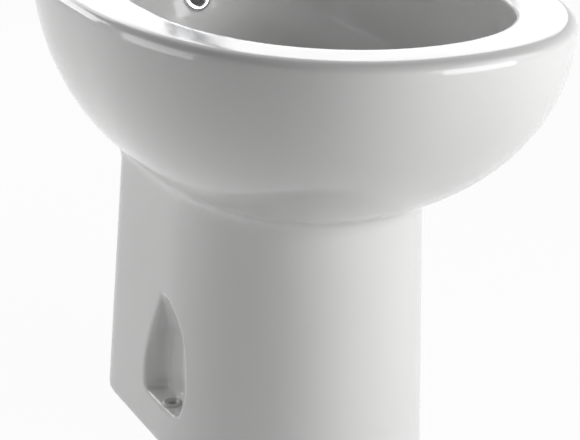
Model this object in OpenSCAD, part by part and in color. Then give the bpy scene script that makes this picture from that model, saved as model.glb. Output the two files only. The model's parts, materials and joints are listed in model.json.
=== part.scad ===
// Floor-standing bidet with a one-hole mixer, a pop-up waste and a bottle trap.
// Millimetres. +Z up, the front of the bowl towards -Y, the wall side towards +Y,
// origin on the floor under the middle of the rim.

/* [Bowl] */
// Width of the rim
bowl_width = 360; // [345:1:390]
// Length of the rim from front to back
bowl_length = 554; // [545:1:580]
// Height of the rim above the floor
rim_height = 400; // [385:1:430]
// Distance from the front of the rim back to its widest point
rim_widest = 268; // [258:1:280]
// Roundness of the front half of the rim (2 is an ellipse)
rim_front_power = 2.26; // [2.15:0.01:2.5]
// Roundness of the back half of the rim
rim_back_power = 2.7; // [2.5:0.1:3.5]
// Width of the rim's rounded shoulder at the sides
shoulder_side = 8; // [5:0.5:11]
// Width of the rim's rounded shoulder at the front
shoulder_front = 13; // [8:0.5:16]
// Drop of the rounded shoulder
shoulder_drop = 7; // [5:0.5:9]
// Thickness of the ceramic walls
wall = 11; // [9:0.5:12]

/* [Basin] */
// Width of the basin just below its lip
basin_width = 269; // [262:1:276]
// Distance from the front of the rim to the basin wall
basin_front_rim = 50.5; // [46:0.5:56]
// Distance from the basin's back wall to the back of the rim
tap_deck = 82.5; // [80:0.5:86]
// Distance from the basin's front wall back to its widest point
basin_widest = 183; // [172:1:195]
// Roundness of the front of the basin
basin_front_power = 2.12; // [2:0.01:2.4]
// Roundness of the back of the basin
basin_back_power = 2.33; // [2.1:0.01:2.6]
// Radius of the lip between the rim's top and the basin wall
lip_r = 7; // [5:0.5:8]
// Depth of the basin from the rim's top to the drain
basin_depth = 126; // [120:1:130]
// Steepness of the basin wall near the lip
basin_wall_power = 2.4; // [2.2:0.1:2.6]

/* [Pedestal] */
// Height at which the bowl swells out of the pedestal
neck_height = 239.5; // [236:0.5:244]
// Width of the pedestal at the neck
neck_width = 204; // [202:0.5:210]
// Distance from the front of the rim to the neck's front
neck_front = 147; // [142:1:152]
// Distance from the back of the rim to the neck's back
neck_back = 141; // [137:1:145]
// Length of the neck's straight sides
neck_straight = 123; // [118:1:128]
// Width of the foot on the floor
foot_width = 223.5; // [222:0.5:232]
// Distance from the front of the rim to the foot's front
foot_front = 144.5; // [138:0.5:150]
// Distance from the back of the rim to the foot's back
foot_back = 108.5; // [104:0.5:114]
// Length of the foot's straight sides
foot_straight = 136; // [130:1:142]
// Squareness of the pedestal's rear corners
corner_power = 17; // [10:1:20]
// Height of the soft fillet under the bowl
neck_fillet = 12; // [8:1:16]
// Width of the plumbing opening in the back
back_opening_width = 150; // [140:1:156]
// Radius of that opening's top corners
back_opening_r = 38; // [25:1:45]
// Height of the closed skirt behind the tap deck
deck_skirt = 50; // [46:1:54]

/* [Fixing niches] */
// Width of a side niche
niche_width = 82; // [76:1:86]
// Height of a niche from its ledge to the top of its arch
niche_height = 103.5; // [98:0.5:108]
// Height of the ledge above the floor
niche_sill = 38; // [34:1:44]
// Distance from the back of the rim to the middle of the niches
niche_back = 251.5; // [248:0.5:256]
// Thickness of the niche walls and the ledge
niche_wall = 9; // [8:0.5:10]
// Distance from the side of the foot to the floor fixing hole
fixing_inset = 11.75; // [10.25:0.25:12]
// Diameter of the floor screw hole in each bush
fixing_hole_d = 8; // [7:0.5:9]
// Outer diameter of a bush's sleeve
bush_d = 13; // [12:0.2:14]
// Diameter of a bush's flange
bush_flange_d = 18; // [17:0.5:18.5]
// Thickness of a bush's flange
bush_flange_t = 2.5; // [2:0.1:3]

/* [Overflow] */
// Height of the overflow's centre below the rim
overflow_drop = 50; // [47:0.5:53]
// Diameter of the overflow hole
overflow_hole_d = 18; // [17:0.5:20]
// Outer diameter of the overflow ring
overflow_ring_d = 26; // [25:0.5:28]
// Inner diameter of the overflow ring
overflow_ring_bore = 14; // [12:0.5:14.5]
// Diameter of the duct that leads from the overflow to the waste
duct_bore = 13; // [11:0.5:14]

/* [Waste] */
// Distance from the back of the rim to the drain
drain_back = 217; // [212:1:222]
// Diameter of the hole in the ceramic
waste_hole_d = 45; // [44:0.5:46]
// Thickness of the ceramic at the drain
drain_boss_t = 30; // [27:1:33]
// Diameter of the chrome waste flange
waste_flange_d = 64; // [62:0.5:66]
// Thickness of the waste flange
waste_flange_t = 2.5; // [2:0.1:3]
// Outer diameter of the flange's threaded tube
waste_tube_d = 39; // [38:0.5:40]
// Inner diameter of the flange's threaded tube
waste_tube_bore = 33; // [32:0.5:34]
// Diameter of the plug's cap
plug_d = 46; // [44:0.5:48]
// Thickness of the flange seal
flange_seal_t = 1.5; // [1.2:0.1:2]
// Thickness of the seal under the ceramic
lower_seal_t = 4; // [3:0.5:5]
// Diameter of the waste body's outlet thread
waste_outlet_d = 41.6; // [41:0.1:42]

/* [Pop-up linkage] */
// Distance from the drain's axis to the ball of the lever
ball_offset = 22; // [21:0.5:24]
// Diameter of the ball
ball_d = 13; // [12:0.2:14]
// Distance from the ball to the strap, along the lever
lever_arm = 118; // [112:1:124]
// Diameter of the lever rod
lever_rod_d = 4; // [3.5:0.1:4.4]
// Gap between the waste body's socket and the ball nut
lever_gap = 1; // [0.5:0.1:4]
// How far the lift rod can be pulled up
lift_travel = 38; // [34:1:40]
// Diameter of the lift rod
lift_rod_d = 4; // [3.5:0.1:4.4]
// Diameter of the lift knob
lift_knob_d = 9; // [8:0.2:9.6]
// Width of the linkage strap
strap_width = 12; // [11:0.5:14]
// Thickness of the linkage strap
strap_t = 1.5; // [1.2:0.1:2]

/* [Trap] */
// Outer diameter of the trap's pipes
pipe_d = 32; // [31:0.5:33]
// Wall thickness of the trap's pipes
pipe_wall = 1.3; // [1:0.1:1.6]
// Diameter of the trap's bottle
bottle_d = 62; // [58:1:66]
// Height of the bottle's upper part
bottle_top_h = 46; // [44:1:50]
// Height of the cup that screws into it
cup_h = 48; // [42:1:52]
// Distance between the outlet pipe's end and the wall
outlet_end_gap = 4; // [3:0.5:10]

/* [Mixer] */
// Distance from the back of the rim to the tap hole
tap_back = 43; // [42:0.5:44]
// Diameter of the tap hole
tap_hole_d = 35; // [34:0.5:36]
// Diameter of the mixer's base
mixer_base_d = 52; // [50:0.5:54]
// Height of the mixer's base flange
mixer_base_h = 5; // [4:0.5:7]
// Distance of the barrel's axis in front of the tap hole
barrel_offset = 11; // [10:0.5:11.5]
// Outer diameter of the barrel
barrel_d = 41; // [40.6:0.1:42]
// Height of the barrel's top above the tap deck
barrel_h = 68; // [64:1:74]
// Diameter of the cartridge
cartridge_d = 35; // [34:0.1:35.2]
// Reach of the spout from the barrel's axis to the nozzle
spout_reach = 106; // [98:1:112]
// Width of the spout at its nose
spout_width = 29; // [28:0.5:32]
// Height of the spout's underside above the tap deck
spout_rise = 34; // [32:1:38]
// Length of the lever handle's blade from the barrel's axis
blade_reach = 96; // [86:1:104]
// Width of the blade at its tip
blade_width = 17; // [15:0.5:20]
// Thickness of the base gasket
base_gasket_t = 2.5; // [2:0.1:3]
// Diameter of the spout's ball
spout_ball_d = 16; // [15:0.2:17]
// Outer diameter of the nozzle
nozzle_d = 25; // [24.6:0.1:26]
// Diameter of the supply inlets
inlet_d = 9; // [8.6:0.1:9.4]
// Depth of the supply inlets
inlet_depth = 12; // [10:0.5:13]
// Diameter of the fixing stud
stud_d = 6; // [5:0.5:6.5]

/* [Hidden] */

// Clearance between round faces that fit into each other
fit_gap = 0.1;
// Clearance between pieces that move past each other
run_gap = 0.3;
// Overshoot of a cutting shape past the face it cuts
eps = 1;
$fn = 64;

// Places that the whole object shares
front_y = -bowl_length / 2;
back_y = bowl_length / 2;
drain_y = back_y - drain_back;
drain_z = rim_height - basin_depth;
tap_y = back_y - tap_back;

// An outline is [half width, reach to the front, reach to the back, middle y, front power, back power]
rim_outline = [bowl_width / 2, rim_widest, bowl_length - rim_widest, front_y + rim_widest,
    rim_front_power, rim_back_power];
basin_length = bowl_length - basin_front_rim - tap_deck;
basin_outline = [basin_width / 2, basin_widest, basin_length - basin_widest,
    front_y + basin_front_rim + basin_widest, basin_front_power, basin_back_power];
pedestal_power = 2.15;
neck_mid_y = back_y - neck_back - neck_straight;
foot_mid_y = back_y - foot_back - foot_straight;
neck_outline = [neck_width / 2, neck_mid_y - front_y - neck_front, neck_straight, neck_mid_y,
    pedestal_power, corner_power];
foot_outline = [foot_width / 2, foot_mid_y - front_y - foot_front, foot_straight, foot_mid_y,
    pedestal_power, corner_power];

// The directions of an outline's points, closer together at the pedestal's rear corners
front_angles = [for (a = [-180:5:-5]) a];
corner_angles = concat([for (a = [0:6:30]) a], [for (a = [34:3:61]) a], [for (a = [65:5:85]) a]);
loft_angles = concat(front_angles, corner_angles, [90],
    [for (i = [len(corner_angles) - 1:-1:1]) 180 - corner_angles[i]]);

function outline_radius(a, half, reach, power) =
    pow(pow(abs(cos(a)) / half, power) + pow(abs(sin(a)) / reach, power), -1 / power);
function outline_point(a, o) =
    let (r = sin(a) < 0 ? outline_radius(a, o[0], o[1], o[4]) : outline_radius(a, o[0], o[2], o[5]))
    [r * cos(a), o[3] + r * sin(a)];
function outline(o) = [for (a = loft_angles) outline_point(a, o)];
function grown(o, side, front, back) = [o[0] + side, o[1] + front, o[2] + back, o[3], o[4], o[5]];
function circle_points(r, y) = [for (a = loft_angles) [r * cos(a), y + r * sin(a)]];
function mixed(p, q, k) = [for (i = [0:len(p) - 1]) p[i] + (q[i] - p[i]) * k];
function at_height(points, z) = [for (p = points) [p[0], p[1], z]];

// How far the bowl has swollen from the neck towards the rim, at a share u of its height
swell_start = 0.16;
swell_power = 1.93;
function swell_curve(s) = pow(1 - pow(1 - s, swell_power), 1 / swell_power);
function swell(u) = (swell_curve(swell_start + (1 - swell_start) * u) - swell_curve(swell_start))
    / (1 - swell_curve(swell_start));

// Outer skin
neck_points = outline(neck_outline);
foot_points = outline(foot_outline);
rim_points = outline(rim_outline);
function pedestal_points(z) = mixed(foot_points, neck_points, min(1, z / neck_height));
swell_top = rim_height - shoulder_drop;
function skin_ring(z, k) = at_height(mixed(pedestal_points(z), rim_points, k), z);
function swell_z(u) = neck_height + (swell_top - neck_height) * u;
// The fillet is a curve from the pedestal's side to the bowl's underside
fillet_end = 0.035;
function fillet_z(t) = (1 - t) * (1 - t) * (neck_height - neck_fillet)
    + 2 * t * (1 - t) * neck_height + t * t * swell_z(fillet_end);
function fillet_ring(t) = skin_ring(fillet_z(t), t * t * swell(fillet_end));
// The swell's upper end belongs to the rim, whose underside is flat
ceiling_z = rim_height - wall;
swell_steps = 11;
ceiling_skin_ring = skin_ring(ceiling_z, swell((ceiling_z - neck_height) / (swell_top - neck_height)));
bowl_skin_rings = concat(
    [for (t = [0, 0.35, 0.7, 1]) fillet_ring(t)],
    [for (i = [1:swell_steps - 1]) let (u = fillet_end + (1 - fillet_end) * pow(i / swell_steps, 1.35))
        skin_ring(swell_z(u), swell(u))],
    [ceiling_skin_ring]);
shoulder_rings = [for (a = [0:22.5:90]) at_height(
    outline(grown(rim_outline, -shoulder_side * (1 - cos(a)), -shoulder_front * (1 - cos(a)),
        -shoulder_side * (1 - cos(a)))),
    swell_top + shoulder_drop * sin(a))];

// Basin: from the lip down to a circle round the waste flange
recess_depth = waste_flange_t + flange_seal_t;
recess_r = waste_flange_d / 2 + 2 * run_gap;
drain_circle_r = recess_r + 3;
basin_floor_power = 2;
basin_angles = [3, 7, 12, 18, 26, 35, 45, 55, 65, 75, 83, 90];
function basin_depth_share(b) = pow(sin(b), 2 / basin_wall_power);
function basin_width_share(b) = pow(cos(b), 2 / basin_floor_power);
basin_top_z = rim_height - lip_r;
function basin_ring(b) = at_height(
    mixed(circle_points(drain_circle_r, drain_y), outline(basin_outline), basin_width_share(b)),
    basin_top_z - (basin_top_z - drain_z) * basin_depth_share(b));
lip_rings = [for (a = [0:30:90]) at_height(
    outline(grown(basin_outline, lip_r * (1 - sin(a)), lip_r * (1 - sin(a)), lip_r * (1 - sin(a)))),
    rim_height - lip_r * (1 - cos(a)))];
// The basin's wall where it meets the rim's underside
ceiling_share = (basin_top_z - ceiling_z) / (basin_top_z - drain_z);
ceiling_basin_ring = basin_ring(asin(pow(ceiling_share, basin_wall_power / 2)));

// Hollow between the skins, open at the foot
boss_z = drain_z - drain_boss_t;
boss_r = waste_hole_d / 2 + 2.2 * wall;
hollow_basin_outline = grown(basin_outline, wall, wall, wall);
hollow_rim_points = outline(grown(rim_outline, -wall, -wall, -wall));
hollow_neck_points = outline(grown(neck_outline, -wall, -wall, -wall));
hollow_foot_points = outline(grown(foot_outline, -wall, -wall, -wall));
hollow_neck_z = neck_height + 0.9 * wall;
function hollow_basin_ring(b) = at_height(
    mixed(circle_points(drain_circle_r, drain_y), outline(hollow_basin_outline), basin_width_share(b)),
    ceiling_z - (ceiling_z - drain_z + wall) * basin_depth_share(b));
hollow_steps = 8;
hollow_bowl_rings = [for (i = [hollow_steps:-1:0]) let (u = pow(i / hollow_steps, 1.3))
    at_height(mixed(hollow_neck_points, hollow_rim_points, swell(u)),
        hollow_neck_z + (ceiling_z - hollow_neck_z) * u)];
function hollow_pedestal_ring(z) =
    at_height(mixed(hollow_foot_points, hollow_neck_points, z / hollow_neck_z), z);

// The ceramic is one fired piece, cast as nodes that meet face to face: rim, basin, bowl, pedestal and niches
pedestal_top = neck_height - neck_fillet;
rim_rings = concat([ceiling_skin_ring], shoulder_rings, lip_rings, [ceiling_basin_ring]);
basin_rings = concat([for (b = [90:-10:0]) hollow_basin_ring(b)], [ceiling_basin_ring],
    [for (b = basin_angles) basin_ring(b)]);
bowl_rings = concat(hollow_bowl_rings, [hollow_pedestal_ring(pedestal_top)], bowl_skin_rings);
pedestal_rings = concat([hollow_pedestal_ring(pedestal_top), hollow_pedestal_ring(0)],
    [for (z = [0, neck_height / 2, pedestal_top]) skin_ring(z, 0)]);

// Joins rings of equal length into one closed surface: a stack with flat ends, or a loop
module loft(rings, loop = false) {
    n = len(rings[0]);
    count = n * len(rings);
    points = [for (r = rings) for (p = r) p];
    sides = [for (j = [0:len(rings) - (loop ? 1 : 2)]) for (i = [0:n - 1])
        let (a = j * n + i, b = j * n + (i + 1) % n, c = (a + n) % count, d = (b + n) % count)
        each [[a, c, b], [b, c, d]]];
    ends = [[for (i = [0:n - 1]) i], [for (i = [1:n]) count - i]];
    polyhedron(points = points, faces = loop ? sides : concat(sides, ends));
}

// The basin's back wall in the plane x = 0, as [y, z] for an angle b from the lip down to the drain
basin_back_y = front_y + basin_front_rim + basin_length;
function basin_back_point(b) = [
    drain_y + drain_circle_r + (basin_back_y - drain_y - drain_circle_r) * basin_width_share(b),
    basin_top_z - (basin_top_z - drain_z) * basin_depth_share(b)];
function basin_back_normal(b) =
    let (d = basin_back_point(b - 1) - basin_back_point(b + 1))
    [d[1], -d[0]] / norm(d);
overflow_share = (basin_top_z - rim_height + overflow_drop) / (basin_top_z - drain_z);
overflow_b = asin(pow(overflow_share, basin_wall_power / 2));
overflow_point = basin_back_point(overflow_b);
overflow_normal = basin_back_normal(overflow_b);
overflow_tilt = atan2(-overflow_normal[1], overflow_normal[0]);

// Duct: from behind the overflow, down along the basin's back, into the side of the waste hole
duct_wall = 5;
duct_offset = duct_bore / 2 + 9;
duct_outlet_z = boss_z + 13;
function behind_basin(b) = basin_back_point(b) + duct_offset * basin_back_normal(b);
duct_points = concat([for (b = [overflow_b, 32, 48, 66]) behind_basin(b)],
    [[drain_y + boss_r - wall, duct_outlet_z + 3], [drain_y + waste_hole_d / 4, duct_outlet_z]]);

// A round rod in the plane x = 0 along points given as [y, z]
module run(points, r, joint_extra) {
    for (i = [0:len(points) - 2]) {
        step = points[i + 1] - points[i];
        translate([0, points[i][0], points[i][1]])
        rotate([-atan2(step[0], step[1]), 0, 0])
        cylinder(r = r, h = norm(step));
    }
    for (i = [1:len(points) - 2])
        translate([0, points[i][0], points[i][1]])
        sphere(r = r + joint_extra);
}

// Puts +Z along the overflow's axis, out of the ceramic into the basin
module at_overflow() {
    translate([0, overflow_point[0], overflow_point[1]])
    rotate([90 - overflow_tilt, 0, 0])
    children();
}

module arch(width, bottom, top) {
    translate([-width / 2, bottom])
    square([width, top - bottom - width / 2]);
    translate([0, top - width / 2])
    circle(d = width);
}

// Side niches, each as deep as the bush's flange needs
niche_y = back_y - niche_back;
niche_top = niche_sill + niche_height;
fixing_x = foot_width / 2 - fixing_inset;
bush_room = 1;
niche_end_x = fixing_x - bush_flange_d / 2 - bush_room;
module niche_prism(width, bottom, top, from_x, to_x) {
    translate([from_x, niche_y, 0])
    rotate([90, 0, 90])
    linear_extrude(to_x - from_x)
    arch(width, bottom, top);
}
// The pocket's block ends inside the ceramic skin, so it follows the pedestal's taper
skin_inset = 8;
module niche_block() {
    intersection() {
        niche_prism(niche_width + 2 * niche_wall, niche_sill - niche_wall, niche_top + niche_wall,
            niche_end_x - niche_wall, foot_width / 2);
        translate([0, niche_y + niche_width, 0])
        rotate([90, 0, 0])
        linear_extrude(2 * niche_width)
        polygon([[0, -eps], [foot_width / 2 - skin_inset, -eps],
            [neck_width / 2 - skin_inset, neck_height], [0, neck_height]]);
    }
}
module both_sides() {
    children();
    mirror([1, 0, 0])
    children();
}

// Opening in the back: the pedestal's rear, the bowl's underside behind it and the space under the deck
deck_opening_top = rim_height - deck_skirt;
pedestal_opening_top = neck_height - 7;
clear_of_boss = drain_y + boss_r + 5;
underside_gap = 4;
function below_basin(b) = basin_back_point(b) + (wall + underside_gap) * basin_back_normal(b);
module rounded_top(width, top, r) {
    translate([-width / 2, -eps])
    square([width, top - r + eps]);
    translate([r - width / 2, -eps])
    square([width - 2 * r, top + eps]);
    for (side = [-1, 1])
        translate([side * (width / 2 - r), top - r])
        circle(r = r);
}
module back_opening() {
    behind = back_y + 2 * eps;
    intersection() {
        translate([0, behind, 0])
        rotate([90, 0, 0])
        linear_extrude(behind - drain_y + eps)
        rounded_top(back_opening_width, deck_opening_top, back_opening_r);
        along_x(back_opening_width / 2)
        polygon(concat(
            [[drain_y, -eps], [drain_y, pedestal_opening_top], [clear_of_boss, pedestal_opening_top]],
            [for (b = [76, 60, 45, 30]) below_basin(b)],
            [[basin_back_y + wall + underside_gap, deck_opening_top], [behind, deck_opening_top],
                [behind, -eps]]));
    }
}

module ceramic_rim() {
    color("white")
    difference() {
        loft(rim_rings, loop = true);
        translate([0, tap_y, ceiling_z - eps])
        cylinder(d = tap_hole_d, h = wall + 2 * eps);
    }
}

module ceramic_basin() {
    color("white")
    difference() {
        union() {
            loft(basin_rings);
            translate([0, drain_y, boss_z])
            cylinder(r = boss_r, h = drain_boss_t - 1);
            run(duct_points, duct_bore / 2 + duct_wall, 0.3);
            at_overflow()
            translate([0, 0, -duct_offset])
            cylinder(d = overflow_hole_d + 2 * duct_wall, h = duct_offset - 2);
            translate([0, duct_points[0][0], duct_points[0][1]])
            sphere(d = overflow_hole_d + 2 * duct_wall + 0.4);
        }
        translate([0, drain_y, drain_z - recess_depth])
        cylinder(r = recess_r, h = recess_depth + 3);
        translate([0, drain_y, boss_z - eps])
        cylinder(d = waste_hole_d, h = drain_boss_t + 2 * eps);
        run(duct_points, duct_bore / 2, 0.2);
        at_overflow()
        translate([0, 0, -duct_offset])
        cylinder(d = overflow_hole_d, h = duct_offset + 5);
        translate([0, duct_points[0][0], duct_points[0][1]])
        sphere(d = overflow_hole_d + 0.3);
        at_overflow()
        cylinder(d = overflow_ring_d + 2 * run_gap, h = 5);
    }
}

module ceramic_bowl() {
    color("white")
    difference() {
        loft(bowl_rings, loop = true);
        back_opening();
    }
}

module whole_pedestal() {
    difference() {
        union() {
            difference() {
                loft(pedestal_rings, loop = true);
                back_opening();
            }
            both_sides()
            niche_block();
        }
        both_sides() {
            niche_prism(niche_width, niche_sill, niche_top, niche_end_x, bowl_width / 2);
            translate([fixing_x, niche_y, -eps])
            cylinder(d = bush_d + 2 * fit_gap, h = niche_sill + 2 * eps);
        }
    }
}
// The zone around each niche, as large as the pocket's block
module niche_zone() {
    both_sides()
    translate([niche_end_x - niche_wall, niche_y - niche_width / 2 - niche_wall, niche_sill - niche_wall])
    cube([bowl_width / 2, niche_width + 2 * niche_wall, niche_height + 2 * niche_wall]);
}
module ceramic_pedestal() {
    color("white")
    difference() {
        whole_pedestal();
        niche_zone();
    }
}
module ceramic_niches() {
    color("white")
    intersection() {
        whole_pedestal();
        niche_zone();
    }
}

// A ring about the z axis
module ring(outer_r, inner_r, from_z, to_z) {
    translate([0, 0, from_z])
    difference() {
        cylinder(r = outer_r, h = to_z - from_z);
        translate([0, 0, -eps])
        cylinder(r = inner_r, h = to_z - from_z + 2 * eps);
    }
}

// A nut with a lip at its top and grip notches round its outside
module grip_nut(outer_r, thread_r, hole_r, height, lip) {
    notch_r = 2;
    notches = 12;
    difference() {
        cylinder(r = outer_r, h = height);
        translate([0, 0, -eps])
        cylinder(r = thread_r, h = height - lip + eps);
        translate([0, 0, -eps])
        cylinder(r = hole_r, h = height + 2 * eps);
        for (i = [0:notches - 1])
            rotate([0, 0, i * 360 / notches])
            translate([outer_r + 0.4 * notch_r, 0, -eps])
            cylinder(r = notch_r, h = height + 2 * eps);
    }
}

function curve(from, bend, to, steps) = [for (i = [0:steps]) let (t = i / steps)
    (1 - t) * (1 - t) * from + 2 * t * (1 - t) * bend + t * t * to];

// An outline in the plane of [y, z], made solid along x
module along_x(half_width) {
    translate([-half_width, 0, 0])
    rotate([90, 0, 90])
    linear_extrude(2 * half_width)
    children();
}

module fixing_bushes() {
    color("gainsboro")
    both_sides()
    translate([fixing_x, niche_y, 0])
    difference() {
        union() {
            translate([0, 0, niche_sill - niche_wall])
            cylinder(d = bush_d, h = niche_wall + bush_flange_t / 2);
            translate([0, 0, niche_sill])
            cylinder(d1 = bush_flange_d, d2 = bush_flange_d - bush_flange_t, h = bush_flange_t);
        }
        translate([0, 0, niche_sill - niche_wall - eps])
        cylinder(d = fixing_hole_d, h = niche_wall + bush_flange_t + 2 * eps);
    }
}

overflow_sleeve = 8;
overflow_ring_t = 2.5;
module overflow_ring() {
    inner_r = overflow_ring_bore / 2;
    outer_r = overflow_ring_d / 2;
    middle_r = (inner_r + outer_r) / 2;
    sleeve_r = overflow_hole_d / 2 - 2 * fit_gap;
    color("silver")
    at_overflow()
    rotate_extrude()
    polygon(concat([[inner_r, -overflow_sleeve], [sleeve_r, -overflow_sleeve], [sleeve_r, 0], [outer_r, 0]],
        curve([outer_r, 0.6], [outer_r, overflow_ring_t], [middle_r, overflow_ring_t], 4),
        curve([middle_r, overflow_ring_t], [inner_r, overflow_ring_t], [inner_r, 0.4], 4)));
}

// Waste: heights from the ceramic down
flange_z = drain_z - waste_flange_t;
body_top_z = boss_z - lower_seal_t;
socket_depth = 11;
tube_end_z = body_top_z - socket_depth + run_gap;
socket_z = body_top_z - socket_depth - 2;
ball_boss_r = ball_d / 2 + 5;
ball_nut_r = ball_boss_r + 3.5;
outlet_thread_h = 12;
lever_z = socket_z - ball_nut_r - lever_gap;
body_bottom_z = lever_z - ball_nut_r - outlet_thread_h - 3;
seat_cone = 2;

module at_drain() {
    translate([0, drain_y, 0])
    children();
}

overflow_slot_w = 9;
overflow_slot_h = 12;
module waste_flange() {
    bore_r = waste_tube_bore / 2;
    tube_r = waste_tube_d / 2;
    flange_r = waste_flange_d / 2;
    color("silver")
    at_drain()
    difference() {
        rotate_extrude()
        polygon([[bore_r, tube_end_z], [tube_r, tube_end_z], [tube_r, flange_z], [flange_r, flange_z],
            [flange_r, flange_z + 0.8], [flange_r - 2, drain_z], [bore_r + seat_cone, drain_z],
            [bore_r, drain_z - seat_cone]]);
        for (a = [45, 135])
            rotate([0, 0, a])
            translate([-waste_tube_d, -overflow_slot_w / 2, duct_outlet_z - overflow_slot_h / 2])
            cube([2 * waste_tube_d, overflow_slot_w, overflow_slot_h]);
    }
}

module flange_seal() {
    color("dimgray")
    at_drain()
    ring(waste_flange_d / 2 - 1, waste_tube_d / 2 + run_gap, drain_z - recess_depth, flange_z);
}

module lower_seal() {
    color("dimgray")
    at_drain()
    ring(waste_hole_d / 2 + 5, waste_tube_d / 2 + fit_gap, body_top_z, boss_z);
}

body_r = 20;
socket_r = waste_tube_d / 2 + 4.5;
collar_r = waste_hole_d / 2 + 6;
collar_t = 4;
// The ball sits at the end of a side boss
ball_y = drain_y + ball_offset;
ball_bore_r = ball_d / 2 + 2.1;
ball_boss_end = ball_offset + 4;
ball_bore_start = ball_offset - 3.5;
module along_ball_boss(from, to, r) {
    translate([0, from, lever_z])
    rotate([-90, 0, 0])
    cylinder(r = r, h = to - from);
}
module waste_body() {
    color("whitesmoke")
    at_drain()
    difference() {
        union() {
            translate([0, 0, body_top_z - collar_t])
            cylinder(r = collar_r, h = collar_t);
            translate([0, 0, socket_z])
            cylinder(r = socket_r, h = socket_depth);
            translate([0, 0, body_bottom_z])
            cylinder(r = body_r, h = body_top_z - body_bottom_z - collar_t);
            translate([0, 0, body_bottom_z])
            cylinder(d = waste_outlet_d, h = outlet_thread_h);
            along_ball_boss(0, ball_boss_end, ball_boss_r);
        }
        translate([0, 0, body_bottom_z - eps])
        cylinder(d = waste_tube_bore, h = body_top_z - body_bottom_z + 2 * eps);
        translate([0, 0, body_top_z - socket_depth])
        cylinder(r = waste_tube_d / 2 + fit_gap, h = socket_depth + eps);
        along_ball_boss(0, ball_boss_end, ball_d / 2 - 1);
        along_ball_boss(ball_bore_start, ball_boss_end + eps, ball_bore_r);
    }
}

// Pop-up: at rest the rod is down, the lever's outer end is down and the plug is raised
half_swing = lift_travel / lever_arm * 90 / PI;
plug_raise = lift_travel * ball_offset / lever_arm;
inner_arm_r = 2.2;
plug_z = drain_z + run_gap + plug_raise;
plug_hub_h = 9;
plug_hub_r = 14;
plug_fins_h = 28;
plug_dome = 5;
plug_stem_r = 4;
plug_stem_z = lever_z - ball_offset * sin(half_swing) + inner_arm_r + run_gap + plug_raise;
seal_r = 1.3;
seal_ring_r = waste_tube_bore / 2 - run_gap - seal_r;
plug_seal_z = plug_z - 4;
module plug() {
    fin_reach = waste_tube_bore / 2 - run_gap - fit_gap;
    color("silver")
    at_drain()
    difference() {
        union() {
            rotate_extrude()
            polygon(concat([[0, plug_z], [plug_d / 2 - 1, plug_z], [plug_d / 2, plug_z + 1]],
                curve([plug_d / 2 - 0.5, plug_z + 1.8], [plug_d / 3, plug_z + plug_dome],
                    [0, plug_z + plug_dome], 8)));
            translate([0, 0, plug_z - plug_hub_h])
            cylinder(r = plug_hub_r, h = plug_hub_h + eps);
            for (a = [0, 90])
                rotate([0, 0, a])
                translate([-fin_reach, -1.25, plug_z - plug_hub_h - plug_fins_h])
                cube([2 * fin_reach, 2.5, plug_fins_h + eps]);
            translate([0, 0, plug_stem_z])
            cylinder(r1 = plug_stem_r - 3, r2 = plug_stem_r, h = 3);
            translate([0, 0, plug_stem_z + 3])
            cylinder(r = plug_stem_r, h = plug_z - plug_stem_z - 3);
        }
        translate([0, 0, plug_seal_z])
        rotate_extrude()
        translate([seal_ring_r, 0])
        circle(r = seal_r + fit_gap);
    }
}

module plug_seal() {
    color("dimgray")
    at_drain()
    translate([0, 0, plug_seal_z])
    rotate_extrude()
    translate([seal_ring_r, 0])
    circle(r = seal_r);
}

// Puts +Y along the lever, from the ball to the strap
module at_ball() {
    translate([0, ball_y, lever_z])
    rotate([-half_swing, 0, 0])
    children();
}
lever_tail = 12;
module ball_lever() {
    color("silver")
    at_ball() {
        sphere(d = ball_d);
        rotate([-90, 0, 0])
        cylinder(d = lever_rod_d, h = lever_arm + lever_tail);
        rotate([90, 0, 0])
        cylinder(r = inner_arm_r, h = ball_offset);
        translate([0, -ball_offset, 0])
        sphere(r = inner_arm_r);
    }
}

ball_clearance = 0.06;
seat_split = 0.2;
module ball_seat() {
    color("whitesmoke")
    translate([0, ball_y, lever_z])
    rotate([-90, 0, 0])
    difference() {
        translate([0, 0, ball_bore_start - ball_offset])
        cylinder(r = ball_bore_r - fit_gap, h = ball_boss_end - ball_bore_start);
        sphere(r = ball_d / 2 + ball_clearance);
        translate([-ball_d, -ball_d, -seat_split / 2])
        cube([2 * ball_d, 2 * ball_d, seat_split]);
    }
}

ball_nut_wall = 3.5;
ball_nut_h = 8.5;
module ball_nut() {
    color("whitesmoke")
    translate([0, drain_y + ball_boss_end + ball_nut_wall, lever_z])
    rotate([90, 0, 0])
    mirror([0, 0, 1])
    translate([0, 0, -ball_nut_h])
    grip_nut(ball_nut_r, ball_boss_r + fit_gap, ball_d / 2 - 0.8, ball_nut_h, ball_nut_wall);
}

clip_t = 1;
clip_gap = 5;
module lever_clip() {
    color("silver")
    at_ball()
    translate([0, lever_arm, 0])
    difference() {
        union() {
            for (y = [-clip_gap - clip_t, clip_gap])
                translate([-4, y, -4.5])
                cube([strap_width / 2 + 6, clip_t, 9]);
            translate([strap_width / 2 + 1, -clip_gap - clip_t / 2, -4.5])
            cube([clip_t, 2 * clip_gap + clip_t, 9]);
        }
        translate([0, -clip_gap - 2 * clip_t, 0])
        rotate([-90, 0, 0])
        cylinder(r = lever_rod_d / 2 + fit_gap, h = 2 * clip_gap + 4 * clip_t);
    }
}

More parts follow.
